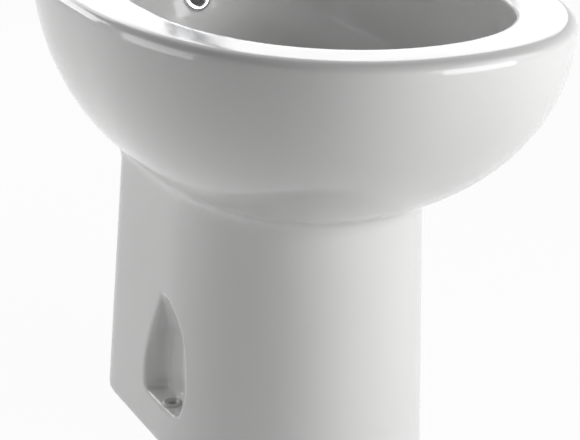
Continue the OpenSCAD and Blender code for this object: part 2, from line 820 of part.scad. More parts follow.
// Strap: from the lift rod's clamp down to the lever
rod_y = tap_y + tap_hole_d / 2 - lift_rod_d / 2 - 1;
clamp_drop = 42;
clamp_z = deck_opening_top - clamp_drop;
clamp_r = 6.5;
clamp_h = 12;
strap_y = rod_y - clamp_r + strap_t;
lever_end = [ball_y + lever_arm * cos(half_swing), lever_z - lever_arm * sin(half_swing)];
strap_slope = atan2(strap_y - lever_end[0], clamp_z - lever_end[1]);
strap_length = norm([strap_y, clamp_z] - lever_end);
strap_hole_d = lever_rod_d + 2.8;
strap_hole_pitch = 14;
strap_screw_d = 3;
module linkage_strap() {
    color("silver")
    difference() {
        union() {
            translate([0, strap_y, clamp_z])
            rotate([90 - strap_slope, 0, 0])
            linear_extrude(strap_t, center = true)
            difference() {
                union() {
                    translate([-strap_width / 2, -strap_length])
                    square([strap_width, strap_length]);
                    translate([0, -strap_length])
                    circle(d = strap_width);
                }
                for (i = [0:2])
                    translate([0, -strap_length + i * strap_hole_pitch])
                    circle(d = strap_hole_d);
            }
            translate([0, rod_y, clamp_z - clamp_h / 2])
            cylinder(r = clamp_r, h = clamp_h);
        }
        translate([0, rod_y, clamp_z - clamp_h])
        cylinder(r = lift_rod_d / 2 + fit_gap, h = 2 * clamp_h);
        translate([0, rod_y, clamp_z])
        rotate([0, 90, 0])
        cylinder(r = strap_screw_d / 2 + fit_gap, h = 2 * clamp_r);
    }
}

module strap_screw() {
    color("silver")
    translate([lift_rod_d / 2 + fit_gap, rod_y, clamp_z])
    rotate([0, 90, 0]) {
        cylinder(d = strap_screw_d, h = clamp_r + 2);
        translate([0, 0, clamp_r])
        difference() {
            cylinder(r = 5, h = 4);
            for (i = [0:9])
                rotate([0, 0, i * 36])
                translate([5.6, 0, -eps])
                cylinder(r = 1, h = 4 + 2 * eps);
        }
    }
}

// Mixer: heights from the tap deck up
deck_z = rim_height;
mixer_z = deck_z + base_gasket_t;
barrel_y = tap_y - barrel_offset;
barrel_top_z = deck_z + barrel_h;
rod_boss_h = 50;
rod_boss_top_z = deck_z + rod_boss_h;
rod_boss_r = 6;
rod_tail = 10;
knob_h = 13;
knob_hole = 8;
module lift_rod() {
    color("silver")
    translate([0, rod_y, clamp_z - clamp_h / 2 - rod_tail])
    cylinder(d = lift_rod_d, h = rod_boss_top_z + run_gap + knob_hole - clamp_z + clamp_h / 2 + rod_tail);
}

module lift_knob() {
    r = lift_knob_d / 2;
    color("silver")
    translate([0, rod_y, rod_boss_top_z + run_gap])
    difference() {
        rotate_extrude()
        polygon(concat([[0, 0], [r * 0.7, 0], [r * 0.62, knob_h * 0.3]],
            curve([r * 0.75, knob_h * 0.45], [r * 1.1, knob_h * 0.55], [r, knob_h * 0.75], 4),
            curve([r, knob_h * 0.85], [r * 0.9, knob_h], [0, knob_h], 4)));
        translate([0, 0, -eps])
        cylinder(r = lift_rod_d / 2 + fit_gap, h = knob_hole + eps);
    }
}

// Trap: heights from the waste body down
union_seal_t = 3;
union_nut_h = 20;
union_nut_wall = 4.5;
pipe_flange_t = 2.5;
nut_lip = 3;
trap_nut_h = 14;
trap_nut_wall = 5;
bottle_drop = 26;
outlet_drop = 22;
dip_depth = 28;
pipe_top_z = body_bottom_z - union_seal_t;
bottle_top_z = body_bottom_z - bottle_drop;
bottle_bottom_z = bottle_top_z - bottle_top_h;
cup_bottom_z = bottle_bottom_z - cup_h;
thread_h = 10;
neck_top_z = bottle_top_z + thread_h;
neck_seal_t = 3;
outlet_z = bottle_top_z - outlet_drop;
pipe_r = pipe_d / 2;
stub_wall = 3.5;
stub_r = pipe_r + run_gap + stub_wall;
stub_reach = 20;
stub_end_y = drain_y + bottle_d / 2 + stub_reach;
seal_inset = 0.4;
bottle_wall = 2.5;

module union_nut() {
    color("whitesmoke")
    translate([0, drain_y, pipe_top_z - pipe_flange_t - nut_lip + union_nut_h])
    mirror([0, 0, 1])
    grip_nut(waste_outlet_d / 2 + union_nut_wall, waste_outlet_d / 2 + fit_gap, pipe_r + run_gap,
        union_nut_h, nut_lip);
}

module union_seal() {
    color("dimgray")
    at_drain()
    ring(waste_outlet_d / 2 - seal_inset, waste_tube_bore / 2 + fit_gap, pipe_top_z, body_bottom_z);
}

dip_end_z = bottle_bottom_z - dip_depth;
module inlet_pipe() {
    color("whitesmoke")
    at_drain()
    rotate_extrude()
    polygon([[pipe_r - pipe_wall, dip_end_z], [pipe_r, dip_end_z], [pipe_r, pipe_top_z - pipe_flange_t],
        [waste_outlet_d / 2 - seal_inset, pipe_top_z - pipe_flange_t],
        [waste_outlet_d / 2 - seal_inset, pipe_top_z], [pipe_r - pipe_wall, pipe_top_z]]);
}

module neck_nut() {
    color("whitesmoke")
    translate([0, drain_y, neck_top_z + neck_seal_t + nut_lip - trap_nut_h])
    grip_nut(stub_r + trap_nut_wall, stub_r + fit_gap, pipe_r + run_gap, trap_nut_h, nut_lip);
}

module neck_seal() {
    color("dimgray")
    at_drain()
    ring(stub_r - seal_inset, pipe_r + fit_gap, neck_top_z, neck_top_z + neck_seal_t);
}

shoulder_h = 8;
module trap_body() {
    color("whitesmoke")
    at_drain()
    difference() {
        union() {
            rotate_extrude()
            polygon(concat([[0, bottle_bottom_z], [bottle_d / 2, bottle_bottom_z]],
                curve([bottle_d / 2, bottle_top_z - shoulder_h], [bottle_d / 2, bottle_top_z],
                    [stub_r, bottle_top_z], 5),
                [[stub_r, neck_top_z], [0, neck_top_z]]));
            translate([0, 0, outlet_z])
            rotate([-90, 0, 0])
            cylinder(r = stub_r, h = stub_end_y - drain_y);
        }
        translate([0, 0, bottle_bottom_z - eps])
        cylinder(r = bottle_d / 2 - bottle_wall, h = bottle_top_h - shoulder_h + eps);
        translate([0, 0, bottle_bottom_z])
        cylinder(r = pipe_r + run_gap, h = bottle_top_h + thread_h + eps);
        translate([0, 0, outlet_z])
        rotate([-90, 0, 0])
        cylinder(r = pipe_r + run_gap, h = stub_end_y - drain_y + eps);
    }
}

cup_flange_r = bottle_d / 2 + 2;
cup_seal_t = 2;
cup_wall = 2.3;
cup_thread_r = bottle_d / 2 - bottle_wall - fit_gap;
module cup_seal() {
    color("dimgray")
    at_drain()
    ring(bottle_d / 2, cup_thread_r + fit_gap, bottle_bottom_z - cup_seal_t, bottle_bottom_z);
}

module trap_cup() {
    seat_z = bottle_bottom_z - cup_seal_t;
    cup_r = bottle_d / 2 - 1.5;
    inner_r = cup_thread_r - cup_wall;
    color("whitesmoke")
    at_drain()
    rotate_extrude()
    polygon([[0, cup_bottom_z - 4], [11, cup_bottom_z - 4], [12, cup_bottom_z], [cup_r - 4, cup_bottom_z],
        [cup_r - 1, cup_bottom_z + 1.5], [cup_r, cup_bottom_z + 5], [cup_r, seat_z - 5],
        [cup_flange_r, seat_z - 4], [cup_flange_r, seat_z], [cup_thread_r, seat_z],
        [cup_thread_r, seat_z + thread_h], [inner_r, seat_z + thread_h], [inner_r, cup_bottom_z + 6],
        [inner_r - 3, cup_bottom_z + cup_wall], [0, cup_bottom_z + cup_wall]]);
}

module outlet_nut() {
    color("whitesmoke")
    translate([0, stub_end_y + neck_seal_t + nut_lip, outlet_z])
    rotate([90, 0, 0])
    mirror([0, 0, 1])
    translate([0, 0, -trap_nut_h])
    grip_nut(stub_r + trap_nut_wall, stub_r + fit_gap, pipe_r + run_gap, trap_nut_h, nut_lip);
}

module outlet_seal() {
    color("dimgray")
    translate([0, stub_end_y, outlet_z])
    rotate([-90, 0, 0])
    ring(stub_r - seal_inset, pipe_r + fit_gap, 0, neck_seal_t);
}

pipe_insert = 18;
outlet_pipe_y = stub_end_y - pipe_insert;
module outlet_pipe() {
    color("whitesmoke")
    translate([0, outlet_pipe_y, outlet_z])
    rotate([-90, 0, 0])
    ring(pipe_r, pipe_r - pipe_wall, 0, back_y - outlet_end_gap - outlet_pipe_y);
}

// Mixer body
spout_under_z = deck_z + spout_rise;
nozzle_y = barrel_y - spout_reach;
nose_y = nozzle_y - spout_width / 2;
barrel_r = barrel_d / 2;
base_r = mixer_base_d / 2;
base_front_r = barrel_r + 1.5;
pocket_h = 18;
pocket_z = deck_z + pocket_h;
cartridge_h = 34;
cartridge_top_z = pocket_z + cartridge_h;
cartridge_thread_r = cartridge_d / 2 + 0.9;
barrel_bore_r = cartridge_thread_r + fit_gap;
stud_y = tap_y - 12;
inlet_offset = 8.5;

// Two circles and the straight lines that touch both of them
module base_outline(inset) {
    lean = (base_r - base_front_r) / barrel_offset;
    side = sqrt(1 - lean * lean);
    r1 = base_r - inset;
    r2 = base_front_r - inset;
    translate([0, tap_y])
    circle(r = r1);
    translate([0, barrel_y])
    circle(r = r2);
    polygon([[r1 * side, tap_y + r1 * lean], [-r1 * side, tap_y + r1 * lean],
        [-r2 * side, barrel_y + r2 * lean], [r2 * side, barrel_y + r2 * lean]]);
}

// The spout's height at the barrel and at its nose, and where its top and underside bend
spout_top_h = 60;
spout_foot_h = 22;
nose_h = 13;
spout_top_bend = 50;
spout_under_bend = 30;
spout_flat = 16;
module spout() {
    nose_top = spout_under_z + nose_h;
    top_z = deck_z + spout_top_h;
    intersection() {
        along_x(spout_width)
        polygon(concat(
            curve([barrel_y, top_z], [barrel_y - spout_top_bend, top_z + 1],
                [nose_y + 3, nose_top + 1.5], 10),
            [[nose_y + 0.8, nose_top], [nose_y, nose_top - 2], [nose_y, spout_under_z + 2],
                [nose_y + 2, spout_under_z]],
            curve([nozzle_y + spout_flat, spout_under_z], [barrel_y - spout_under_bend, spout_under_z - 1],
                [barrel_y, deck_z + spout_foot_h], 8)));
        translate([0, 0, deck_z])
        linear_extrude(barrel_h)
        union() {
            translate([0, nozzle_y])
            circle(d = spout_width);
            polygon([[-spout_width / 2, nozzle_y], [spout_width / 2, nozzle_y],
                [barrel_r - 3, barrel_y], [3 - barrel_r, barrel_y]]);
        }
    }
}

nipple_shank_d = 12;
nipple_shank_h = 12;
module mixer_body() {
    color("silver")
    difference() {
        union() {
            translate([0, 0, mixer_z])
            linear_extrude(mixer_base_h)
            base_outline(0);
            translate([0, barrel_y, mixer_z])
            cylinder(r = barrel_r, h = barrel_top_z - mixer_z);
            translate([0, rod_y, mixer_z])
            cylinder(r = rod_boss_r, h = rod_boss_top_z - mixer_z);
            translate([-rod_boss_r + 1, barrel_y, mixer_z])
            cube([2 * rod_boss_r - 2, rod_y - barrel_y, rod_boss_top_z - mixer_z - 3]);
            spout();
        }
        translate([0, barrel_y, pocket_z])
        cylinder(r = cartridge_d / 2 + fit_gap, h = barrel_h);
        translate([0, barrel_y, cartridge_top_z])
        cylinder(r = barrel_bore_r, h = barrel_h);
        translate([0, rod_y, mixer_z - eps])
        cylinder(r = lift_rod_d / 2 + run_gap, h = barrel_h);
        for (side = [-1, 1])
            translate([side * inlet_offset, tap_y, mixer_z - eps])
            cylinder(d = inlet_d, h = inlet_depth + eps);
        translate([0, stud_y, mixer_z - eps])
        cylinder(r = stud_d / 2 + fit_gap, h = 9 + eps);
        translate([0, nozzle_y, spout_under_z - eps])
        cylinder(r = nipple_shank_d / 2 + fit_gap, h = nipple_shank_h + eps);
        translate([0, nozzle_y, spout_under_z + 8])
        rotate([-90, 0, 0])
        cylinder(r = 3.5, h = spout_reach - cartridge_d / 2 + 2);
    }
}

module base_gasket() {
    color("dimgray")
    translate([0, 0, deck_z])
    difference() {
        linear_extrude(base_gasket_t)
        base_outline(1);
        translate([0, tap_y, -eps])
        cylinder(d = tap_hole_d, h = base_gasket_t + 2 * eps);
    }
}

// Fixing under the tap deck
clamp_gasket_t = 3;
clamp_plate_t = 2.5;
clamp_plate_r = 24;
stud_nut_h = 5.5;
plate_z = ceiling_z - clamp_gasket_t - clamp_plate_t;
module fixing_stud() {
    color("goldenrod")
    translate([0, stud_y, plate_z - stud_nut_h - 8])
    cylinder(d = stud_d, h = mixer_z + 8.5 - plate_z + stud_nut_h + 8);
}

module horseshoe(thickness) {
    slot_w = 26;
    difference() {
        translate([0, tap_y, 0])
        cylinder(r = clamp_plate_r, h = thickness);
        translate([-slot_w / 2, tap_y - 5, -eps])
        cube([slot_w, 2 * clamp_plate_r, thickness + 2 * eps]);
        translate([0, stud_y, -eps])
        cylinder(r = stud_d / 2 + fit_gap, h = thickness + 2 * eps);
    }
}

module clamp_gasket() {
    color("dimgray")
    translate([0, 0, plate_z + clamp_plate_t])
    horseshoe(clamp_gasket_t);
}

module clamp_plate() {
    color("silver")
    translate([0, 0, plate_z])
    horseshoe(clamp_plate_t);
}

module stud_nut() {
    color("goldenrod")
    translate([0, stud_y, plate_z - stud_nut_h])
    difference() {
        cylinder(r = stud_d / 2 + 2.8, h = stud_nut_h, $fn = 6);
        translate([0, 0, -eps])
        cylinder(r = stud_d / 2 + fit_gap, h = stud_nut_h + 2 * eps);
    }
}

// Cartridge, cap and what turns in them
module at_barrel() {
    translate([0, barrel_y, 0])
    children();
}
tilt_z = barrel_top_z + 6;
cap_flange_t = 2;
cap_ball_r = 13;
cap_bore_r = 11;
cap_opening_r = 9.2;
cartridge_nut_h = 7.5;
cartridge_nut_bore_r = 14;
module cartridge() {
    color("whitesmoke")
    at_barrel()
    difference() {
        translate([0, 0, pocket_z])
        cylinder(d = cartridge_d, h = cartridge_h);
        for (a = [0:60:300])
            rotate([0, 0, a])
            translate([cartridge_d / 2, 0, pocket_z + 6])
            cylinder(r = 1.5, h = cartridge_h - 12);
    }
}

module cartridge_nut() {
    color("goldenrod")
    at_barrel()
    difference() {
        ring(cartridge_thread_r, cartridge_nut_bore_r, cartridge_top_z, cartridge_top_z + cartridge_nut_h);
        for (a = [0, 90])
            rotate([0, 0, a])
            translate([-barrel_d, -2, cartridge_top_z + cartridge_nut_h - 2.5])
            cube([2 * barrel_d, 4, 3]);
    }
}

module barrel_cap() {
    skirt_z = cartridge_top_z + cartridge_nut_h + run_gap;
    color("silver")
    at_barrel()
    difference() {
        union() {
            translate([0, 0, skirt_z])
            cylinder(r = cartridge_thread_r, h = barrel_top_z - skirt_z);
            translate([0, 0, barrel_top_z])
            cylinder(r1 = barrel_r, r2 = barrel_r - 1, h = cap_flange_t);
            translate([0, 0, barrel_top_z])
            cylinder(r = cap_ball_r, h = tilt_z - barrel_top_z);
            translate([0, 0, tilt_z])
            sphere(r = cap_ball_r);
        }
        translate([0, 0, skirt_z - barrel_h])
        cylinder(r = cap_bore_r, h = tilt_z - skirt_z + barrel_h);
        translate([0, 0, tilt_z])
        sphere(r = cap_bore_r);
        translate([0, 0, tilt_z])
        cylinder(r = cap_opening_r, h = 2 * cap_ball_r);
    }
}

// The stem tilts on a pin between the carrier's ears
ear_gap = 5.3;
ear_t = 3;
pin_r = 1.5;
pin_gap = 0.08;
module swing_carrier() {
    carrier_z = cartridge_top_z + run_gap;
    color("whitesmoke")
    at_barrel()
    difference() {
        union() {
            translate([0, 0, carrier_z])
            cylinder(r = cartridge_nut_bore_r - 0.5, h = 3.5);
            for (side = [-1, 1])
                translate([side * (ear_gap + ear_t / 2) - ear_t / 2, -4, carrier_z])
                cube([ear_t, 8, tilt_z + 4 - carrier_z]);
        }
        translate([-barrel_r, 0, tilt_z])
        rotate([0, 90, 0])
        cylinder(r = pin_r + pin_gap, h = barrel_d);
    }
}

stem_side = 6;
stem_top = 19;
screw_r = 2;
module cartridge_stem() {
    color("goldenrod")
    translate([0, barrel_y, tilt_z])
    difference() {
        union() {
            rotate([0, 90, 0])
            cylinder(r = pin_r, h = 2 * (ear_gap + ear_t), center = true);
            rotate([0, 90, 0])
            cylinder(r = stem_side / 2 + 0.8, h = 2 * (ear_gap - 0.2), center = true);
            translate([-stem_side / 2, -stem_side / 2, -7])
            cube([stem_side, stem_side, stem_top + 7]);
        }
        translate([0, 0, stem_top - 10.5])
        cylinder(r = screw_r + fit_gap, h = 12);
    }
}

// Lever handle: a crown over the cap's ball, and a blade over the spout
handle_rim = 5.5;
screw_seat = stem_top + 1.3;
screw_head_h = 2.5;
plug_seat = screw_seat + screw_head_h + 0.2;
handle_plug_r = 5.5;
blade_tip_y = barrel_y - blade_reach;
crown_r = 19.2;
crown_h = 25;
// The blade's top and underside, as heights over the tilt axis
blade_root_h = 23;
blade_dip_h = 17;
blade_tip_h = 31;
blade_tip_t = 3.8;
blade_under_h = 12;
blade_foot_h = 7.5;
blade_top_bend = 30;
blade_under_bend = 40;
blade_root = 10;
module blade() {
    tip_r = blade_width / 2;
    tip_z = tilt_z + blade_tip_h;
    foot_z = tilt_z + blade_foot_h;
    intersection() {
        along_x(barrel_r)
        polygon(concat(
            curve([barrel_y, tilt_z + blade_root_h], [barrel_y - blade_top_bend, tilt_z + blade_dip_h],
                [blade_tip_y + 1, tip_z], 10),
            [[blade_tip_y, tip_z - 1], [blade_tip_y + 0.5, tip_z - 3]],
            curve([blade_tip_y + 2, tip_z - blade_tip_t],
                [barrel_y - blade_under_bend, tilt_z + blade_under_h],
                [barrel_y - blade_root, foot_z], 10),
            [[barrel_y, foot_z]]));
        translate([0, 0, deck_z])
        linear_extrude(2 * barrel_h)
        union() {
            translate([0, blade_tip_y + tip_r])
            circle(r = tip_r);
            polygon([[-tip_r, blade_tip_y + tip_r], [tip_r, blade_tip_y + tip_r],
                [barrel_r / 2 + 1.5, barrel_y - 8], [-barrel_r / 2 - 1.5, barrel_y - 8]]);
            translate([0, barrel_y - 8])
            circle(r = barrel_r / 2 + 1.5);
        }
    }
}
// The crown's side, as shares of its radius and height
crown_curve = [[0.958, 0.36], [0.833, 0.56], [0.677, 0.8], [0.5625, 0.932], [0.469, 0.984], [0.39, 1]];
module lever_handle() {
    color("silver")
    difference() {
        union() {
            translate([0, barrel_y, tilt_z])
            rotate_extrude()
            polygon(concat([[0, handle_rim], [crown_r - 0.2, handle_rim], [crown_r, handle_rim + 0.6]],
                [for (p = crown_curve) [p[0] * crown_r, p[1] * crown_h]], [[0, crown_h]]));
            blade();
        }
        translate([0, barrel_y, tilt_z]) {
            sphere(r = cap_ball_r + run_gap);
            translate([-stem_side / 2 - fit_gap, -stem_side / 2 - fit_gap, 0])
            cube([stem_side + 2 * fit_gap, stem_side + 2 * fit_gap, stem_top + fit_gap]);
            cylinder(r = screw_r + run_gap, h = 30);
            translate([0, 0, screw_seat])
            cylinder(r = 4.2, h = 10);
            translate([0, 0, plug_seat])
            cylinder(r = handle_plug_r + fit_gap, h = 10);
        }
    }
}

module handle_screw() {
    color("silver")
    translate([0, barrel_y, tilt_z])
    difference() {
        union() {
            translate([0, 0, stem_top - 10])
            cylinder(r = screw_r, h = screw_seat - stem_top + 10);
            translate([0, 0, screw_seat])
            cylinder(r = 3.8, h = screw_head_h);
        }
        translate([0, 0, screw_seat + 0.8])
        cylinder(r = 1.7, h = screw_head_h, $fn = 6);
    }
}

module index_plug() {
    color("silver")
    translate([0, barrel_y, tilt_z + plug_seat])
    rotate_extrude()
    polygon(concat([[0, 0], [handle_plug_r, 0]],
        curve([handle_plug_r, 1.2], [handle_plug_r * 0.8, 2.4], [0, 2.4], 5)));
}

// Spout end: nested spheres about one centre
ball_drop = 13;
ball_z = spout_under_z - ball_drop;
spout_ball_r = spout_ball_d / 2;
seat_inner_r = spout_ball_r + 0.05;
seat_outer_r = spout_ball_r + 2.5;
nozzle_h = 18;
nozzle_rim = 4;
insert_r = 10;
module at_nozzle() {
    translate([0, nozzle_y, ball_z])
    children();
}
module ball_nipple() {
    hex_h = 3.5;
    color("silver")
    at_nozzle()
    difference() {
        union() {
            sphere(r = spout_ball_r);
            cylinder(r = 4.5, h = ball_drop);
            translate([0, 0, ball_drop - hex_h])
            cylinder(r = nipple_shank_d / 2 + 2.5, h = hex_h, $fn = 6);
            translate([0, 0, ball_drop])
            cylinder(d = nipple_shank_d, h = nipple_shank_h - run_gap);
        }
        translate([0, 0, -2 * spout_ball_r])
        cylinder(r = 2.6, h = 2 * spout_ball_r + ball_drop + nipple_shank_h);
    }
}

module nozzle_seat() {
    color("silver")
    at_nozzle()
    difference() {
        sphere(r = seat_outer_r);
        sphere(r = seat_inner_r);
        translate([-spout_ball_d, -spout_ball_d, 4.5])
        cube(2 * spout_ball_d);
        translate([-spout_ball_d, -spout_ball_d, -6.5 - 2 * spout_ball_d])
        cube(2 * spout_ball_d);
    }
}

module nozzle() {
    nozzle_r = nozzle_d / 2;
    color("silver")
    at_nozzle()
    difference() {
        rotate_extrude()
        polygon([[0, -nozzle_h], [nozzle_r - 1, -nozzle_h], [nozzle_r, -nozzle_h + 1],
            [nozzle_r, nozzle_rim - 1], [nozzle_r - 1, nozzle_rim], [0, nozzle_rim]]);
        sphere(r = seat_outer_r + run_gap);
        translate([0, 0, -nozzle_h - eps])
        cylinder(r = insert_r, h = nozzle_h - 8 + eps);
    }
}

module aerator_insert() {
    color("whitesmoke")
    at_nozzle()
    difference() {
        translate([0, 0, -nozzle_h + 0.6])
        cylinder(r = insert_r - fit_gap, h = 5.5);
        for (n = [[0, 0], [6, 3.4], [12, 6.8]])
            for (i = [0:max(0, n[0] - 1)])
                rotate([0, 0, i * 360 / max(1, n[0])])
                translate([n[1], 0, -nozzle_h])
                cylinder(r = 0.9, h = 8);
    }
}

ceramic_rim();
ceramic_basin();
ceramic_bowl();
ceramic_pedestal();
ceramic_niches();
fixing_bushes();
overflow_ring();
waste_flange();
flange_seal();
lower_seal();
waste_body();
plug();
plug_seal();
ball_lever();
ball_seat();
ball_nut();
lever_clip();
linkage_strap();
strap_screw();
lift_rod();
lift_knob();
union_nut();
union_seal();
inlet_pipe();
neck_nut();
neck_seal();
trap_body();
cup_seal();
trap_cup();
outlet_nut();
outlet_seal();
outlet_pipe();
mixer_body();
base_gasket();
fixing_stud();
clamp_gasket();
clamp_plate();
stud_nut();
cartridge();
cartridge_nut();
barrel_cap();
swing_carrier();
cartridge_stem();
lever_handle();
handle_screw();
index_plug();
ball_nipple();
nozzle_seat();
nozzle();
aerator_insert();
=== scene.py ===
"""Looks for a floor-standing bidet: glazed ceramic, chrome fittings and white plastic waste pipes."""

import json
import math

import bmesh
import bpy
import numpy as np
from mathutils import Matrix, Vector
from mathutils.bvhtree import BVHTree


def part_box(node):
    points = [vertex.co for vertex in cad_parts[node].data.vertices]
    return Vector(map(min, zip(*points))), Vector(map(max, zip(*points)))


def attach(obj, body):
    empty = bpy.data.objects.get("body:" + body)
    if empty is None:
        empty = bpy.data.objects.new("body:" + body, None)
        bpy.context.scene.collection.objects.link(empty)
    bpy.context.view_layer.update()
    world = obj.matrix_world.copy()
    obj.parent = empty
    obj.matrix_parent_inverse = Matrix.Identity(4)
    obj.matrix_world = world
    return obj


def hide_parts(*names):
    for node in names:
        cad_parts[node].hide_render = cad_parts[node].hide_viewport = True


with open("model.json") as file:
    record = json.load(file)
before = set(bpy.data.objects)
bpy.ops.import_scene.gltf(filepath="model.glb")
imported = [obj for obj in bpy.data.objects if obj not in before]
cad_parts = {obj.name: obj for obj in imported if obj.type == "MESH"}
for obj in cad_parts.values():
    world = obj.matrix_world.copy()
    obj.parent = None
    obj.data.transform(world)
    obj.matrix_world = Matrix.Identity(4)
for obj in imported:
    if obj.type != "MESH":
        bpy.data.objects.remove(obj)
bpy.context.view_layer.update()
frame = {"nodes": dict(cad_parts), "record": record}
nodes = frame["nodes"]

# The scene is in metres, and the shapes below are worked out in millimetres
MM = 0.001

# The ceramic is one piece here, in place of the nodes that meet face to face
CERAMIC_NODES = ("ceramic_rim", "ceramic_basin", "ceramic_bowl", "ceramic_pedestal", "ceramic_niches")

# Sizes of the ceramic, in millimetres
ceramic_boxes = np.array([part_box(name) for name in CERAMIC_NODES]) / MM
body_low = ceramic_boxes[:, 0].min(axis=0)
body_high = ceramic_boxes[:, 1].max(axis=0)
BOWL_HALF_WIDTH = (body_high[0] - body_low[0]) / 2
FRONT_Y = body_low[1]
BACK_Y = body_high[1]
BOWL_LENGTH = BACK_Y - FRONT_Y
RIM_HEIGHT = body_high[2]
WALL = 11
RIM_WIDEST = 268
RIM_POWERS = (2.26, 2.7)
SHOULDER_SIDE = 8
SHOULDER_FRONT = 13
SHOULDER_DROP = 7

BASIN_HALF_WIDTH = 134.5
BASIN_FRONT_RIM = 50.5
TAP_DECK = 82.5
BASIN_WIDEST = 183
BASIN_POWERS = (2.12, 2.33)
LIP_R = 7
BASIN_DEPTH = 126
BASIN_WALL_POWER = 2.4

NECK_HEIGHT = 239.5
NECK_HALF_WIDTH = 102
NECK_FRONT = 147
NECK_BACK = 141
NECK_STRAIGHT = 123
FOOT_HALF_WIDTH = 111.75
FOOT_FRONT = 144.5
FOOT_BACK = 108.5
FOOT_STRAIGHT = 136
PEDESTAL_POWERS = (2.15, 17)
NECK_FILLET = 12
HOLLOW_NECK_RISE = 0.9 * WALL
FILLET_END = 0.035
SWELL_START = 0.16
SWELL_POWER = 1.93

NICHE_WIDTH = 82
NICHE_HEIGHT = 103.5
NICHE_SILL = 38
NICHE_Y = BACK_Y - 251.5
NICHE_DEPTH_X = 90
NICHE_WALL = 9
NICHE_INSET = 8
GLAZE_MARGIN = 3
# The niche's mouth leans and rounds, and its depth fades out towards the top
NICHE_REAR_LEAN_Z = 60
NICHE_FRONT_ARCH_Z = 96
NICHE_FRONT_FOOT_Z = 74
NICHE_FRONT_FOOT_Y = 20
NICHE_FADE_Z = 98
NICHE_FADE_POWER = 0.8
NICHE_REAR_POWER = 1.3
NICHE_ARCH_POWER = 0.6
NICHE_EDGE_POWER = 9
NICHE_EDGE_ROUND = 0.75
NICHE_REAR_SOFTNESS = 0.3
NICHE_LEAST_REACH = 0.01
# Its cut starts and ends this far outside the pedestal's side
NICHE_START = 0.4
NICHE_CLEAR = 14
NICHE_FILLET = 5
NICHE_LIP_DROP = 2.4
NICHE_LIP_DEPTH = 1.2
FIXING_X = 100
BUSH_HOLE_R = 6.6
BUSH_BORE_R = 4
BUSH_MOUTH_R = 6.2
BUSH_SINK = 2.6
BUSH_FLANGE_R = 9
BUSH_FLANGE_TOP_R = 7.7
BUSH_FLANGE_T = 2.5
BUSH_FLANGE_EDGE = 0.2
BUSH_PLAY = 0.1
# The lower rear corners of the pedestal are rounded off, seen from the side
HEEL_HEIGHT = 17
HEEL_LENGTH = 27
HEEL_CLEAR = 9

DRAIN_Y = BACK_Y - 217
DRAIN_Z = RIM_HEIGHT - BASIN_DEPTH
DRAIN_BOSS = 30
WASTE_HOLE_R = 22.5
BOSS_R = WASTE_HOLE_R + 2.2 * WALL
RECESS_R = 32.6
RECESS_DEPTH = 4
RECESS_CLEAR = 3
DRAIN_CIRCLE_R = RECESS_R + 3
TAP_Y = BACK_Y - 43
TAP_HOLE_R = 17.5

OVERFLOW_DROP = 50
OVERFLOW_HOLE_R = 9
OVERFLOW_RING_R = 13
OVERFLOW_RING_BORE_R = 7
OVERFLOW_RING_T = 2.5
OVERFLOW_RING_OUTER_EDGE = 0.6
OVERFLOW_RING_INNER_EDGE = 0.4
OVERFLOW_RING_PLAY = 0.3
OVERFLOW_SLEEVE = 8
OVERFLOW_SLEEVE_PLAY = 0.2
# The wall round the overflow runs from inside the basin's back to past the duct's middle line
OVERFLOW_WALL_START = 2
OVERFLOW_WALL_PAST = 4
OVERFLOW_CLEAR = 5
DUCT_R = 6.5
DUCT_WALL = 5
DUCT_OFFSET = DUCT_R + 9
# The duct bends at these angles down the basin's back, and ends at these heights over the boss's foot
DUCT_ANGLES = (32, 48, 66)
DUCT_END_RISE = 13
DUCT_LAST_FALL = 3
DUCT_STEPS = 60
DUCT_SMOOTHING = 12

DECK_OPENING_TOP = RIM_HEIGHT - 50
BACK_OPENING_HALF = 75
BACK_OPENING_R = 38
BACK_OPENING_DROP = 7
# The opening keeps clear of the boss and of the basin, which it follows at these angles down its back
BOSS_CLEAR = 5
BASIN_CLEAR = WALL + 4
BACK_OPENING_ANGLES = (76, 68, 60, 52, 45, 38, 30)

# Fineness of the ceramic's surface
CERAMIC_VOXEL = 1.9
CERAMIC_PASSES = 7
# Points round a ring, and layers of each stretch of the skins
RING_POINTS = 400
SIDE_LAYERS = 24
FILLET_LAYERS = 12
SWELL_LAYERS = 60
ROUNDING_LAYERS = 12
BASIN_LAYERS = 60
HOLLOW_BASIN_LAYERS = 30
HOLLOW_SIDE_LAYERS = 24
NICHE_LIP_LAYERS = 5
NICHE_FILLET_LAYERS = 6
NICHE_LAYERS = 39
# Powers that set the layers closer at the neck and at the lip
SWELL_SPACING = 1.35
BASIN_SPACING = 1.4
HOLLOW_SPACING = 1.3
# Points of the niche's slices, of half a circle, of a quarter and of whole circles
NICHE_SLICE_POINTS = 49
ARCH_POINTS = 49
CORNER_POINTS = 17
TUBE_ROUND = 48
PLAIN_ROUND = 64
FINE_ROUND = 96
# Doubled points closer than this are welded, in metres
SEAM_WELD = 1e-7
COPY_WELD = 2e-6
# Edges are broken from the first angle, and show sharp from the others, in degrees
BROKEN_FROM = 35
SHARP_WHEN_BROKEN = 30
SHARP_WHEN_SOFT = 50
SHARP_WHEN_TURNED = 40


def superellipse(angles, half, reach, power):
    across = np.abs(np.cos(angles) / half) ** power
    along = np.abs(np.sin(angles) / reach) ** power
    return (across + along) ** (-1 / power)


